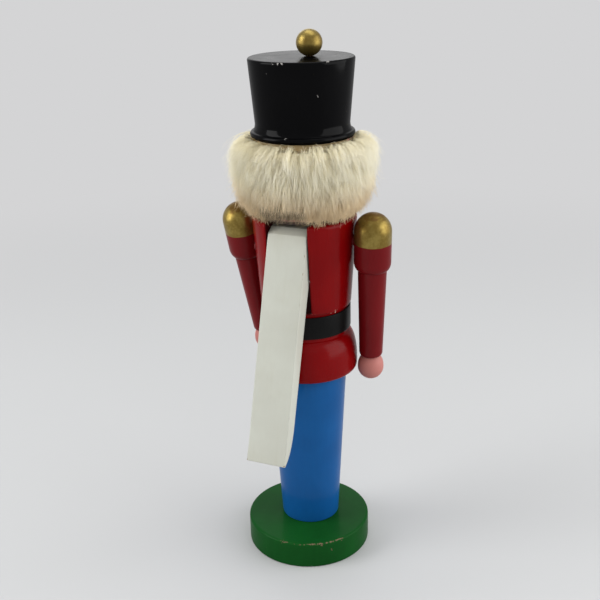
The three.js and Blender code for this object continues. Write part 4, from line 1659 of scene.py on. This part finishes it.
@dataclass
class Fur:
    """Hairs in clumps: how many, how thick, and how tightly their tips draw together."""

    clumps: int
    hairs_each: int
    thickness: float = 0.13 * MM
    tip_share: float = 0.1
    gather: float = 0.35
    steps: int = 6

    def count(self) -> int:
        """Returns the number of hairs."""
        return self.clumps * self.hairs_each

    def clump_of(self) -> Array:
        """Returns the clump that each hair belongs to."""
        return np.repeat(np.arange(self.clumps), self.hairs_each)

    def taper(self, rng: np.random.Generator) -> Array:
        """Gives each hair's radius along it: full for most of its length, then thinning as the cube.

        Args:
            rng: The source of chance.

        Returns:
            The radii, as hairs by steps.
        """
        share = np.linspace(0, 1, self.steps) ** 3
        full = self.thickness * rng.uniform(0.75, 1.15, (self.count(), 1))
        return full * (1 - (1 - self.tip_share) * share)

    def curve(self, control: Sequence[Array]) -> Array:
        """Gives a cubic Bezier through four values for each hair.

        Args:
            control: The four values, each one for all hairs.

        Returns:
            The curve's values, as hairs by steps.
        """
        share = np.linspace(0, 1, self.steps)
        left = 1 - share
        weights = (left**3, 3 * left**2 * share, 3 * left * share**2, share**3)
        return sum(value[:, None] * weight for value, weight in zip(control, weights))


@dataclass
class Hair:
    """The strip of hide round the head and the fur that stands out of it and falls to the shoulders.

    A slope is in degrees: at the hide's foot, and how much more at its top. The trimmed edge's height counts
    from the hide's foot, and is uneven from clump to clump, in long notches, and from hair to hair. Over the
    lever it is higher for a share of the hairs, and the tips there are darkened below a height, as painted
    shade over the dark gap above the lever.
    """

    face_angle: float = math.radians(104)
    lever_angle: float = math.radians(24)
    hide_thickness: float = 1.2 * MM
    length: float = 16 * MM
    short: float = 4.5 * MM
    full_level: float = 0.6
    root_slope: tuple[float, float] = (-55, 128)
    tip_slope: tuple[float, float] = (-76, 58)
    tip_limits: tuple[float, float] = (-86, -8)
    clump_width: float = 1.5 * MM
    trim: float = 1.0 * MM
    ragged: tuple[float, float, float] = (1.2 * MM, 5 * MM, 0.6 * MM)
    lever_trim: float = 3.2 * MM
    lever_share: float = 0.8
    stray_drop: float = 1.8 * MM
    least_length: float = 1.2 * MM
    # Height below which tips over the lever get painted shade.
    tip_shade_height: float = 3.5 * MM
    undercoat: float = 5.0 * MM
    undercoat_foot: float = 5 * MM
    undercoat_inset: float = math.radians(12)
    looseness: float = 2.4
    seed: int = 11
    coat: Fur = field(default_factory=lambda: Fur(clumps=1560, hairs_each=15, thickness=0.1 * MM))
    stray: Fur = field(default_factory=lambda: Fur(clumps=2200, hairs_each=1, thickness=0.07 * MM))
    fur: FurFinish = FurFinish(name="fur", low_shade=0.9)
    hide: HideFinish = HideFinish(name="hide")

    def grow(self, fur: Fur, rng: np.random.Generator, loose: float) -> Surface:
        """Grows hairs out of the hide.

        In the plane of each hair, its radius and height are cubic Beziers. A hair leaves the hide at a first
        slope and ends at a second, lower one, both rising with its root's level on the hide, and it is longer
        higher up. The lowest hairs end along a trimmed edge. The angle round the head drifts along a hair.

        Args:
            fur: The hairs' number and thickness.
            rng: The source of chance.
            loose: How far hairs stray from their clump and shape, 1 for the coat.

        Returns:
            The hairs.
        """
        low, high = node_box("hair_hide")
        root_radius = high[1]
        half = np.pi - self.face_angle / 2
        clump = fur.clump_of()
        count = fur.count()
        clump_angle = rng.uniform(-half, half, fur.clumps)
        clump_level = rng.uniform(0, 1, fur.clumps)
        clump_drift = rng.normal(0, 0.03 * loose, fur.clumps)
        clump_length = rng.uniform(0.78, 1.05, fur.clumps)
        clump_lift = rng.normal(0, 3.5 * loose, fur.clumps)
        phase = rng.uniform(0, 2 * np.pi, fur.clumps)[clump]

        spread_angle = rng.normal(0, self.clump_width / root_radius, count)
        angle = np.clip(clump_angle[clump] + spread_angle, -half, half)
        level = np.clip(clump_level[clump] + rng.normal(0, 0.03, count), 0.0, 1.0)
        root = low[2] + (high[2] - low[2]) * level
        tip_angle = angle - (1 - fur.gather) * spread_angle + clump_drift[clump]
        tip_angle = tip_angle + rng.normal(0, 0.025 * loose, count)

        grown = np.clip(level / self.full_level, 0, 1)
        grown = grown * (2 - grown)
        length = (self.short + (self.length - self.short) * grown) * clump_length[clump]
        length = length * rng.uniform(0.9, 1.08, count) * (1 + 0.12 * (loose - 1))
        first = self.root_slope[0] + self.root_slope[1] * level**1.3 + clump_lift[clump]
        first = np.radians(first + rng.normal(0, 5 * loose, count))
        last = self.tip_slope[0] + self.tip_slope[1] * level + clump_lift[clump]
        last = np.radians(np.clip(last + rng.normal(0, 4 * loose, count), *self.tip_limits))
        uneven, notch, fine = self.ragged
        clump_edge = rng.normal(0, uneven, fur.clumps) - notch * rng.uniform(0, 1, fur.clumps) ** 4
        edge = clump_edge[clump] + rng.normal(0, fine, count)
        over_lever = np.abs(angle) < self.lever_angle
        sparse = over_lever & (rng.uniform(0, 1, count) < self.lever_share)
        trim = low[2] + self.trim + self.lever_trim * sparse + edge - self.stray_drop * (loose - 1)
        length = np.minimum(length, np.maximum((root - trim) / np.sin(-last), self.least_length))
        middle = 0.35 * first + 0.65 * last
        radius = fur.curve([
            np.full(count, root_radius - 0.3 * MM),
            root_radius + 0.42 * length * np.cos(first),
            root_radius + 0.8 * length * np.cos(middle),
            root_radius + length * np.cos(last),
        ])
        height = fur.curve([
            root,
            root + 0.42 * length * np.sin(first),
            root + 0.8 * length * np.sin(middle),
            root + length * np.sin(last),
        ])
        tip = height[:, -1]
        share = np.linspace(0, 1, fur.steps)
        wave = 0.014 * loose * np.sin(5.0 * share + phase[:, None]) * share
        around = angle[:, None] + (tip_angle - angle)[:, None] * share**1.5 + wave
        spine = np.stack([radius * np.sin(around), radius * np.cos(around), height], -1)

        outward = np.column_stack([np.sin(angle), np.cos(angle), np.full(count, 0.35)])
        # Painted shade: the low tips over the lever are marked to be darkened, for the dark gap beneath them.
        grey = over_lever * (tip < low[2] + self.tip_shade_height) * rng.uniform(0, 1, count) ** 0.7
        tone = rng.uniform(0, 1, fur.clumps)[clump] * rng.uniform(0.5, 1.0, count)
        return hairs(spine, fur.taper(rng), outward, {"tone": tone, "grey": grey})

    def build(self) -> None:
        """Makes the hide, a soft undercoat that closes the gaps, and the hairs in four lots."""
        rng = np.random.default_rng(self.seed)
        low, high = node_box("hair_hide")
        radius = high[1]
        half = np.pi - self.face_angle / 2
        section = rounded_box((radius - self.hide_thickness, low[2]), (radius, high[2]), 0.3 * MM)
        strip = banded(section, -half, half, WIDE_FACETS)
        settle(mesh_object("hair_strip", strip), self.hide.material(), Body.FIGURE, ["hair_hide"])

        material = self.fur.material()
        plush_low = (radius + 0.1 * MM, low[2] + self.undercoat_foot)
        plush_high = (radius + self.undercoat, high[2] - 0.5 * MM)
        plush = rounded_box(plush_low, plush_high, 1.6 * MM)
        covered = half - self.undercoat_inset
        soft = banded(plush, -covered, covered, WIDE_FACETS)
        soft.marks = {"along": np.full(len(soft.points), 0.5), "tone": np.full(len(soft.points), 0.5)}
        settle(mesh_object("hair_undercoat", soft), material, Body.FIGURE, ["hair_fur"])

        lots = ("hair_fur_first", "hair_fur_second", "hair_fur_third", "hair_fur_fourth")
        share = replace(self.coat, clumps=self.coat.clumps // len(lots))
        for name in lots:
            lot = mesh_object(name, self.grow(share, rng, 1.0), sharp=False)
            settle(lot, material, Body.FIGURE, ["hair_fur"])
        stray = mesh_object("hair_stray", self.grow(self.stray, rng, self.looseness), sharp=False)
        settle(stray, material, Body.FIGURE, ["hair_fur"])


@dataclass
class Hat:
    """The tall black hat with its rolled brim, and the gold ball on it."""

    foot_radius: float = 25.1 * MM
    top_radius: float = 27.95 * MM
    top_edge: float = 1.1 * MM
    brim_height: float = 7 * MM
    roll: float = 3.3 * MM
    roll_inset: float = 2.4 * MM
    roll_bulge: float = 0.35 * MM
    lip: float = 26.7 * MM
    paint: Paint = Paint(
        name="black_lacquer",
        colour=srgb(5, 5, 6),
        shade=srgb(3, 3, 4),
        under=srgb(168, 165, 160),
        roughness=0.3,
        coat=0.11,
        coat_roughness=0.06,
        gloss=0.01,
        wear=0.16,
        chips=(
            Chip((-17.4 * MM, 20.5 * MM, 269.8 * MM), 0.75 * MM),
            Chip((3.6 * MM, 27.3 * MM, 285.2 * MM), 0.7 * MM),
            Chip((0.9 * MM, 27.4 * MM, 285.2 * MM), 0.8 * MM),
            Chip((-1.4 * MM, 27.4 * MM, 285.3 * MM), 0.6 * MM),
            Chip((-21.6 * MM, 17.2 * MM, 285.3 * MM), 0.8 * MM),
            Chip((-1.8 * MM, 26.6 * MM, 248.4 * MM), 0.8 * MM),
        ),
    )
    gold: BallPaint = BallPaint(
        name="gold_paint",
        colour=GOLD,
        shade=GOLD,
        under=WORN_GOLD,
        roughness=0.36,
        wear=0.0,
    )

    def build(self) -> None:
        """Turns the hat and the ball."""
        low, high = node_box("hat")
        foot, top, brim = low[2], high[2], max(high[1], self.top_radius)
        roll_top = foot + self.roll
        roll = bezier([
            (brim - self.roll_inset, foot),
            (brim + 0.25 * MM, foot),
            (brim + self.roll_bulge, roll_top - 0.3 * MM),
            (self.lip, roll_top),
        ], 14)
        cove = bezier([
            (self.lip - self.roll_bulge, roll_top + 0.1 * MM),
            (self.foot_radius + 0.25 * MM, roll_top + 0.5 * MM),
            (self.foot_radius, foot + self.brim_height),
        ], 12)
        brim_top = (self.foot_radius, foot + self.brim_height)
        crown = fillet([brim_top, (self.top_radius, top), (0, top)], [self.top_edge])
        outline = spread(np.vstack([[(0, foot)], roll, cove, crown[1:]]))
        hat = mesh_object("hat_turning", turned(outline, WIDE_FACETS))
        settle(hat, self.paint.material(), Body.FIGURE, ["hat"])

        ball_low, ball_high = node_box("hat_ball")
        middle = (ball_low + ball_high) / 2
        radius = (ball_high[0] - ball_low[0]) / 2
        ball = sphere(radius, (middle[0], middle[1], ball_high[2] - radius))
        settle(mesh_object("ball", ball), self.gold.material(), Body.FIGURE, ["hat_ball"])


@dataclass
class Lever:
    """The white lever, sawn from one board, with a scoop for the nut, and the beard on its jaw."""

    pivot: tuple[float, float] = (14 * MM, 186 * MM)
    shoulder: float = 15 * MM
    tail_offset: float = 13.6 * MM
    tail_lean: float = math.radians(17.2)
    tail_depth: float = 10.8 * MM
    tip_depth: float = 8.9 * MM
    tip_flat: float = 0.9 * MM
    tip_curve: float = 17 * MM
    tip_full: float = 0.25
    shoulder_angle: float = math.radians(68.4)
    elbow: float = 8 * MM
    arm_depth: float = 24 * MM
    jaw_length: float = 23.5 * MM
    arris: float = 0.75 * MM
    scoop_radius: float = 10 * MM
    scoop_lift: float = 2 * MM
    pin_radius: float = 2.8 * MM
    patch_corner: float = 4 * MM
    patch_edge: float = 0.25 * MM
    beard_hang: tuple[float, float] = (12 * MM, 17 * MM)
    beard_point: float = 5.5 * MM
    beard_round: float = 7 * MM
    least_hang: float = 4 * MM
    seed: int = 5
    beard: Fur = field(default_factory=lambda: Fur(clumps=130, hairs_each=15, thickness=0.11 * MM))
    paint: LeverPaint = LeverPaint(
        name="white_paint",
        colour=srgb(188, 190, 179),
        shade=srgb(182, 183, 172),
        under=srgb(150, 124, 88),
        roughness=0.36,
        coat=0.1,
        coat_roughness=0.2,
        wear=0.2,
        chips=(
            Chip((11.0 * MM, 60.4 * MM, 79.8 * MM), 1.0 * MM),
            Chip((-10.9 * MM, 59.9 * MM, 80.2 * MM), 1.1 * MM),
        ),
    )
    fur: FurFinish = FurFinish(name="beard_fur")
    hide: HideFinish = HideFinish(name="beard_hide")

    def back(self, height: float) -> float:
        """Returns how far back the tail's outer face lies at a height, along its lean."""
        return self.pivot[0] + self.tail_offset + (self.pivot[1] - height) * math.tan(self.tail_lean)

    def inner(self, height: float, tip: float) -> tuple[float, float]:
        """Gives the tail's inner face, which the tail's depth sets off from the outer one.

        Args:
            height: The height.
            tip: The tip's height. The depth thins evenly down to it.

        Returns:
            The point at that height, as y and z.
        """
        share = (self.pivot[1] - height) / (self.pivot[1] - tip)
        depth = self.tail_depth + (self.tip_depth - self.tail_depth) * share
        return self.back(height) - depth, height

    def on_shoulder(self, angle: float) -> tuple[float, float]:
        """Returns the point of the shoulder's circle at an angle above the level."""
        reach = self.shoulder * np.array([math.cos(angle), math.sin(angle)])
        return tuple(np.array(self.pivot) + reach)

    def outline(self) -> Array:
        """Draws the side: jaw, forward arm, sloped shoulder, leaning tail, curved tip, inner face and elbow.

        Returns:
            The closed outline as y and z.
        """
        low, high = node_box("lever")
        tip, jaw_top, jaw_front = low[2], high[2], low[1]
        tail_angle = self.tail_lean + math.acos(self.tail_offset * math.cos(self.tail_lean) / self.shoulder)
        shoulder_start = self.on_shoulder(self.shoulder_angle)
        arm_top = shoulder_start[1]
        arm_foot = arm_top - self.arm_depth
        jaw_back = jaw_front + self.jaw_length
        middle = (jaw_front, (arm_foot + jaw_top) / 2)
        tip_back = self.back(tip)
        tip_end = (tip_back - self.tip_flat, tip)
        upper = fillet(
            [
                middle,
                (jaw_front, jaw_top),
                (jaw_back, jaw_top),
                (jaw_back, arm_top),
                shoulder_start,
                self.on_shoulder(tail_angle),
                (tip_back, tip),
                tip_end,
            ],
            [1.2 * MM, 0.9 * MM, 1.5 * MM, 1.6 * MM, 1.0 * MM, 0.4 * MM],
        )
        curve = bezier([
            tip_end,
            self.inner(tip + self.tip_full * self.tip_curve, tip),
            self.inner(tip + self.tip_curve, tip),
        ])
        corner = self.inner(arm_foot, tip)
        elbow_end = (corner[0] - self.elbow, arm_foot)
        elbow = bezier([self.inner(arm_foot - self.elbow, tip), corner, elbow_end], 10)
        front = fillet([elbow_end, (jaw_front, arm_foot), middle], [1.2 * MM])
        return spread(np.vstack([upper, curve[1:], elbow, front[1:]]), 2 * LONGEST_STEP)[:-1]

    def grow_beard(self) -> Surface:
        """Grows the beard out of its patch of hide: forward at the root, then hanging straight down.

        Returns:
            The hairs. Each coordinate is a cubic Bezier from the root to the tip.
        """
        rng = np.random.default_rng(self.seed)
        low, high = node_box("beard_hide")
        fur_low, fur_high = node_box("beard_fur")
        beard = self.beard
        clump = beard.clump_of()
        count = beard.count()
        clump_x = rng.uniform(low[0], high[0], beard.clumps)
        clump_z = rng.uniform(low[2] + MM, high[2], beard.clumps)
        offset_x = rng.normal(0, 0.7 * MM, count)
        x = np.clip(clump_x[clump] + offset_x, low[0], high[0])
        z = np.clip(clump_z[clump] + rng.normal(0, 0.5 * MM, count), low[2], high[2])
        level = (z - low[2]) / (high[2] - low[2])
        tip_x = np.clip(1.3 * (x - (1 - beard.gather) * offset_x), fur_low[0] - MM, fur_high[0] + MM)
        edge = (tip_x / fur_high[0]) ** 2
        hang = z - rng.uniform(*self.beard_hang, beard.clumps)[clump] - rng.normal(0, 0.8 * MM, count)
        hem = fur_low[2] - self.beard_point + self.beard_round * edge + rng.normal(0, 0.7 * MM, count)
        tip_z = np.minimum(np.maximum(hang, hem), z - self.least_hang)
        depth = -low[1] + (1.5 + 3.8 * level) * MM * rng.uniform(0.75, 1.0, count)
        full = np.full(count, low[1] + 0.3 * MM)
        spine = np.stack([
            beard.curve([x, x, tip_x, tip_x]),
            beard.curve([full, -depth, -depth, -depth + 0.5 * MM]),
            beard.curve([z, z + 0.5 * MM, z - self.least_hang, tip_z]),
        ], -1)
        outward = np.tile((0.1, -1.0, 0.4), (count, 1))
        marks = {"tone": rng.uniform(0, 1, beard.clumps)[clump] * rng.uniform(0.5, 1, count)}
        return hairs(spine, beard.taper(rng), outward, marks)

    def build(self) -> None:
        """Saws the board, drills it, scoops the jaw, and glues the beard on."""
        low, high = node_box("lever")
        outline = self.outline()
        arris = self.arris * np.clip((outline[:, 1] - low[2]) / (9 * MM), 0.35, 1.0)
        lever = mesh_object("lever_board", board(outline, high[0] - low[0], arris))
        width = 2 * (high[0] - low[0])
        drill = drill_bit(self.pin_radius, width, (-width / 2, *self.pivot))
        nut = (0.0, low[1] + self.jaw_length / 2, high[2] + self.scoop_lift)
        carve(lever, [drill, sphere(self.scoop_radius, nut)])
        settle(lever, self.paint.material(), Body.LEVER, ["lever"])

        patch_low, patch_high = node_box("beard_hide")
        section = rounded_box(patch_low[[0, 2]], patch_high[[0, 2]], self.patch_corner, 10)
        thickness = patch_high[1] - patch_low[1]
        patch = plaque(section, thickness, self.patch_edge, (patch_low[1] + patch_high[1]) / 2)
        hide = mesh_object("beard_patch", patch)
        settle(hide, self.hide.material(), Body.LEVER, ["beard_hide"])
        beard = mesh_object("beard_hairs", self.grow_beard(), sharp=False)
        settle(beard, self.fur.material(), Body.LEVER, ["beard_fur"])


@dataclass
class Arm:
    """One arm with its gold shoulder and its hand, about the shoulder's pivot."""

    side: Side
    swing: float
    tilt: float = 2.4
    pivot_side: float = 38.75 * MM
    pivot_forward: float = 1.5 * MM
    pivot_height: float = 189.7 * MM
    radius: float = 10.15 * MM
    dome_rise: float = 6.25 * MM
    cuff_drop: float = 11.2 * MM
    cuff_edge: float = 4.6 * MM
    sleeve_top: float = 7.95 * MM
    sleeve_end: float = 6.6 * MM
    sleeve_drop: float = 69 * MM
    sleeve_edge: float = 2.2 * MM
    hand_radius: float = 7.35 * MM
    hand_length: float = 14.8 * MM
    hand_gap: float = 0.1 * MM
    fist_flat: float = 0.6
    fist_full: float = 0.28
    wrist_full: float = 0.32

    def place(self, surface: Surface) -> Surface:
        """Tilts the hanging arm in, swings it forward and sets it on its pivot.

        Args:
            surface: A piece of the arm, hanging straight down from the origin.

        Returns:
            The piece in its place.
        """
        turn = turn_about("X", -self.swing) @ turn_about("Y", self.side.value * self.tilt)
        pivot = (self.side.value * self.pivot_side, -self.pivot_forward, self.pivot_height)
        return surface.placed(turn, pivot)

    def build(self, sleeve_paint: bpy.types.Material, skin_paint: bpy.types.Material) -> None:
        """Turns the sleeve and the hand.

        Args:
            sleeve_paint: The sleeve's finish.
            skin_paint: The hand's finish.
        """
        label = self.side.name.lower()
        body = Body[f"{self.side.name}_ARM"]
        end = -self.sleeve_drop
        cuff = -self.cuff_drop
        hem = bezier([
            (self.sleeve_end - self.sleeve_edge, end),
            (self.sleeve_end, end),
            (self.sleeve_end, end + self.sleeve_edge),
        ], 8)
        turn = np.linspace(-np.pi / 2, 0, 12)
        round_cuff = np.column_stack([
            self.sleeve_top + (self.radius - self.sleeve_top) * np.cos(turn),
            cuff + self.cuff_edge * np.sin(turn),
        ])
        angle = np.linspace(0, np.pi / 2, 24)
        dome = self.radius * np.column_stack([np.cos(angle), np.sin(angle)]) + (0.0, self.dome_rise)
        dome[-1, 0] = 0.0
        outline = spread(np.vstack([[(0, end)], hem, round_cuff, dome]))
        arm = mesh_object(f"sleeve_{label}", self.place(turned(outline, ARM_FACETS)))
        settle(arm, sleeve_paint, body, [f"arm_{label}"])

        top = end - self.hand_gap
        palm = top - self.hand_length / 2
        fist = bezier([
            (0, top - self.hand_length),
            (self.fist_flat * self.hand_radius, top - self.hand_length),
            (self.hand_radius, palm - self.fist_full * self.hand_length),
            (self.hand_radius, palm),
        ], 20)
        wrist = bezier([
            (self.hand_radius, palm),
            (self.hand_radius, palm + self.wrist_full * self.hand_length),
            (self.sleeve_end - self.sleeve_edge, top),
        ], 14)
        outline = np.vstack([fist, wrist[1:], [(0, top)]])
        hand = mesh_object(f"fist_{label}", self.place(turned(outline, ARM_FACETS)))
        settle(hand, skin_paint, body, [f"hand_{label}"])


@dataclass
class Arms:
    """Both arms, with the finishes that they share."""

    pair: tuple[Arm, Arm] = field(default_factory=lambda: (Arm(Side.LEFT, 15.0), Arm(Side.RIGHT, 5.0)))
    sleeve: SleevePaint = SleevePaint(
        name="sleeve_paint",
        colour=srgb(105, 16, 20),
        shade=srgb(98, 13, 17),
        under=srgb(214, 170, 140),
        roughness=0.34,
        coat=0.14,
        coat_roughness=0.18,
        gloss=0.04,
        wear=0.08,
    )
    skin: Paint = Paint(
        name="hand_paint",
        colour=srgb(178, 114, 106),
        shade=srgb(170, 105, 98),
        under=srgb(206, 172, 130),
        roughness=0.5,
        wear=0.05,
    )

    def build(self) -> None:
        """Builds the two arms."""
        sleeve = self.sleeve.material()
        skin = self.skin.material()
        for arm in self.pair:
            arm.build(sleeve, skin)


@dataclass
class Joinery:
    """The dowels, pegs and the lever's pin, kept as they are and given bare wood."""

    wood: WoodFinish = WoodFinish(name="bare_wood")
    names: tuple[str, ...] = ("dowel", "peg", "pin")

    def build(self) -> None:
        """Dresses every node that is a dowel, a peg or the pin."""
        material = self.wood.material()
        for name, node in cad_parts.items():
            if any(word in name for word in self.names):
                dress(node, material)
                log.info("%s: bare wood", name)


# The stage


@dataclass(frozen=True)
class Lamp:
    """A soft rectangular lamp that faces the figure.

    Attributes:
        name: The lamp's name.
        place: Its place in the photograph's axes.
        size: Its width and height.
        power: Its power in watts.
        mirrored: Whether gloss shows it.
    """

    name: str
    place: Place
    size: tuple[float, float]
    power: float
    mirrored: bool = True


@dataclass
class Studio:
    """The pale floor, the soft lights, and the camera at the photograph's place.

    The camera's place is given in the photograph's own axes, across, ahead and up, which are turned about the
    figure by half a turn and a little more.
    """

    focal_share: float = 939.291 / 600
    sensor: float = 36.0
    distance: float = 493.934 * MM
    camera_height: float = 341.969 * MM
    pitch: float = math.radians(21.046)
    roll: float = math.radians(-1.385)
    yaw: float = math.radians(-0.417)
    turn: float = math.radians(180 + 23.11)
    floor_start: float = 20 * MM
    floor_radius: float = 9.0
    floor_level: float = -0.05 * MM
    floor_fade: tuple[float, float] = (0.25, 0.9)
    lit_height: float = 150 * MM
    near: Colour = srgb(186, 187, 187)
    far: Colour = srgb(212, 212, 213)
    room: Colour = srgb(190, 190, 192)
    lamps: tuple[Lamp, ...] = (
        Lamp("right_lamp", (0.97, -0.2, 0.45), (1.2, 1.0), 9.4),
        Lamp("left_lamp", (-0.95, -0.2, 0.6), (0.6, 0.9), 8.4),
        Lamp("top_lamp", (0.1, 0.2, 1.4), (1.2, 0.9), 6.6),
        Lamp("viewer_lamp", (0.35, -1.1, 0.85), (1.0, 0.8), 3.6, mirrored=False),
        Lamp("far_lamp", (-0.1, 1.3, 0.72), (1.0, 0.7), 2.2),
    )

    def to_frame(self, vector: Sequence[float]) -> Vector:
        """Turns a vector from the photograph's axes into the frame's."""
        return Matrix.Rotation(self.turn, 3, "Z") @ Vector(vector)

    def make_camera(self) -> None:
        """Sets the camera up from its pitch, yaw and roll."""
        ahead = Vector((
            math.sin(self.yaw) * math.cos(self.pitch),
            math.cos(self.yaw) * math.cos(self.pitch),
            -math.sin(self.pitch),
        ))
        level = Vector((math.cos(self.yaw), -math.sin(self.yaw), 0.0))
        upright = level.cross(ahead)
        right = math.cos(self.roll) * level + math.sin(self.roll) * upright
        up = math.cos(self.roll) * upright - math.sin(self.roll) * level
        axes = [self.to_frame(axis) for axis in (right, up, -ahead)]
        data = bpy.data.cameras.new("camera")
        data.sensor_width = self.sensor
        data.lens = self.focal_share * self.sensor
        data.clip_start = 0.01
        camera = bpy.data.objects.new("camera", data)
        place = self.to_frame((0.0, -self.distance, self.camera_height))
        camera.matrix_world = Matrix.Translation(place) @ Matrix(axes).transposed().to_4x4()
        bpy.context.scene.collection.objects.link(camera)
        bpy.context.scene.camera = camera

    def make_floor(self) -> None:
        """Lays a wide pale floor that fades into the backdrop."""
        rows = 24
        facets = 96
        radius = np.geomspace(self.floor_start, self.floor_radius, rows)[:, None]
        angle = 2 * np.pi * np.arange(facets) / facets
        level = np.full((rows, facets), self.floor_level)
        rings = np.stack([radius * np.cos(angle), radius * np.sin(angle), level], -1)
        floor = mesh_object("floor", capped(rings, (0.0, 0.0, self.floor_level), None, {}))
        floor.data.flip_normals()
        material, palette = new_material("floor")
        away = palette.distance((0.0, 0.0, 0.0))
        inputs = {"Base Color": self.near, "Roughness": 0.8, "Specular IOR Level": 0.1}
        lit = palette.node("ShaderNodeBsdfPrincipled", None, inputs)
        plain = palette.node("ShaderNodeEmission", None, {"Color": self.far, "Strength": 1.0})
        shaders = {0: away.above(*self.floor_fade), 1: lit.outputs[0], 2: plain.outputs[0]}
        mixed = palette.node("ShaderNodeMixShader", None, shaders)
        palette.node("ShaderNodeOutputMaterial", None, {"Surface": mixed.outputs[0]})
        dress(floor, material)

    def hang(self, lamp: Lamp) -> None:
        """Hangs a lamp and turns it towards the figure.

        Args:
            lamp: The lamp.
        """
        data = bpy.data.lights.new(lamp.name, "AREA")
        data.shape = "RECTANGLE"
        data.size, data.size_y = lamp.size
        data.energy = lamp.power
        hung = bpy.data.objects.new(lamp.name, data)
        hung.location = self.to_frame(lamp.place)
        towards = Vector((0.0, 0.0, self.lit_height)) - hung.location
        hung.rotation_euler = towards.to_track_quat("-Z", "Y").to_euler()
        hung.visible_glossy = lamp.mirrored
        bpy.context.scene.collection.objects.link(hung)

    def make_world(self) -> None:
        """Fills the room with even light, and shows a pale backdrop to the camera and in gloss."""
        world = bpy.data.worlds.new("room")
        bpy.context.scene.world = world
        world.use_nodes = True
        palette = Palette(world.node_tree)
        path = palette.node("ShaderNodeLightPath")
        seen = Value(palette, path.outputs["Is Camera Ray"])
        for ray in ("Is Glossy Ray", "Is Transmission Ray"):
            seen = seen.most(Value(palette, path.outputs[ray]))
        colour = palette.blend(seen, self.room, self.far)
        background = palette.node("ShaderNodeBackground", None, {0: colour, 1: 1.0})
        palette.node("ShaderNodeOutputWorld", None, {0: background.outputs[0]})

    def build(self) -> None:
        """Builds the stage."""
        bpy.context.scene.view_settings.view_transform = "Standard"
        self.make_camera()
        self.make_floor()
        self.make_world()
        for lamp in self.lamps:
            self.hang(lamp)


def main() -> None:
    """Builds the stage and every sub-assembly."""
    logging.basicConfig(level=logging.INFO, format="%(name)s %(message)s")
    parts = (Studio(), Base(), Legs(), Torso(), Belt(), Head(), Hair(), Hat(), Lever(), Arms(), Joinery())
    for part in parts:
        part.build()
        log.info("built %s", type(part).__name__)


if __name__ == "__main__":
    main()
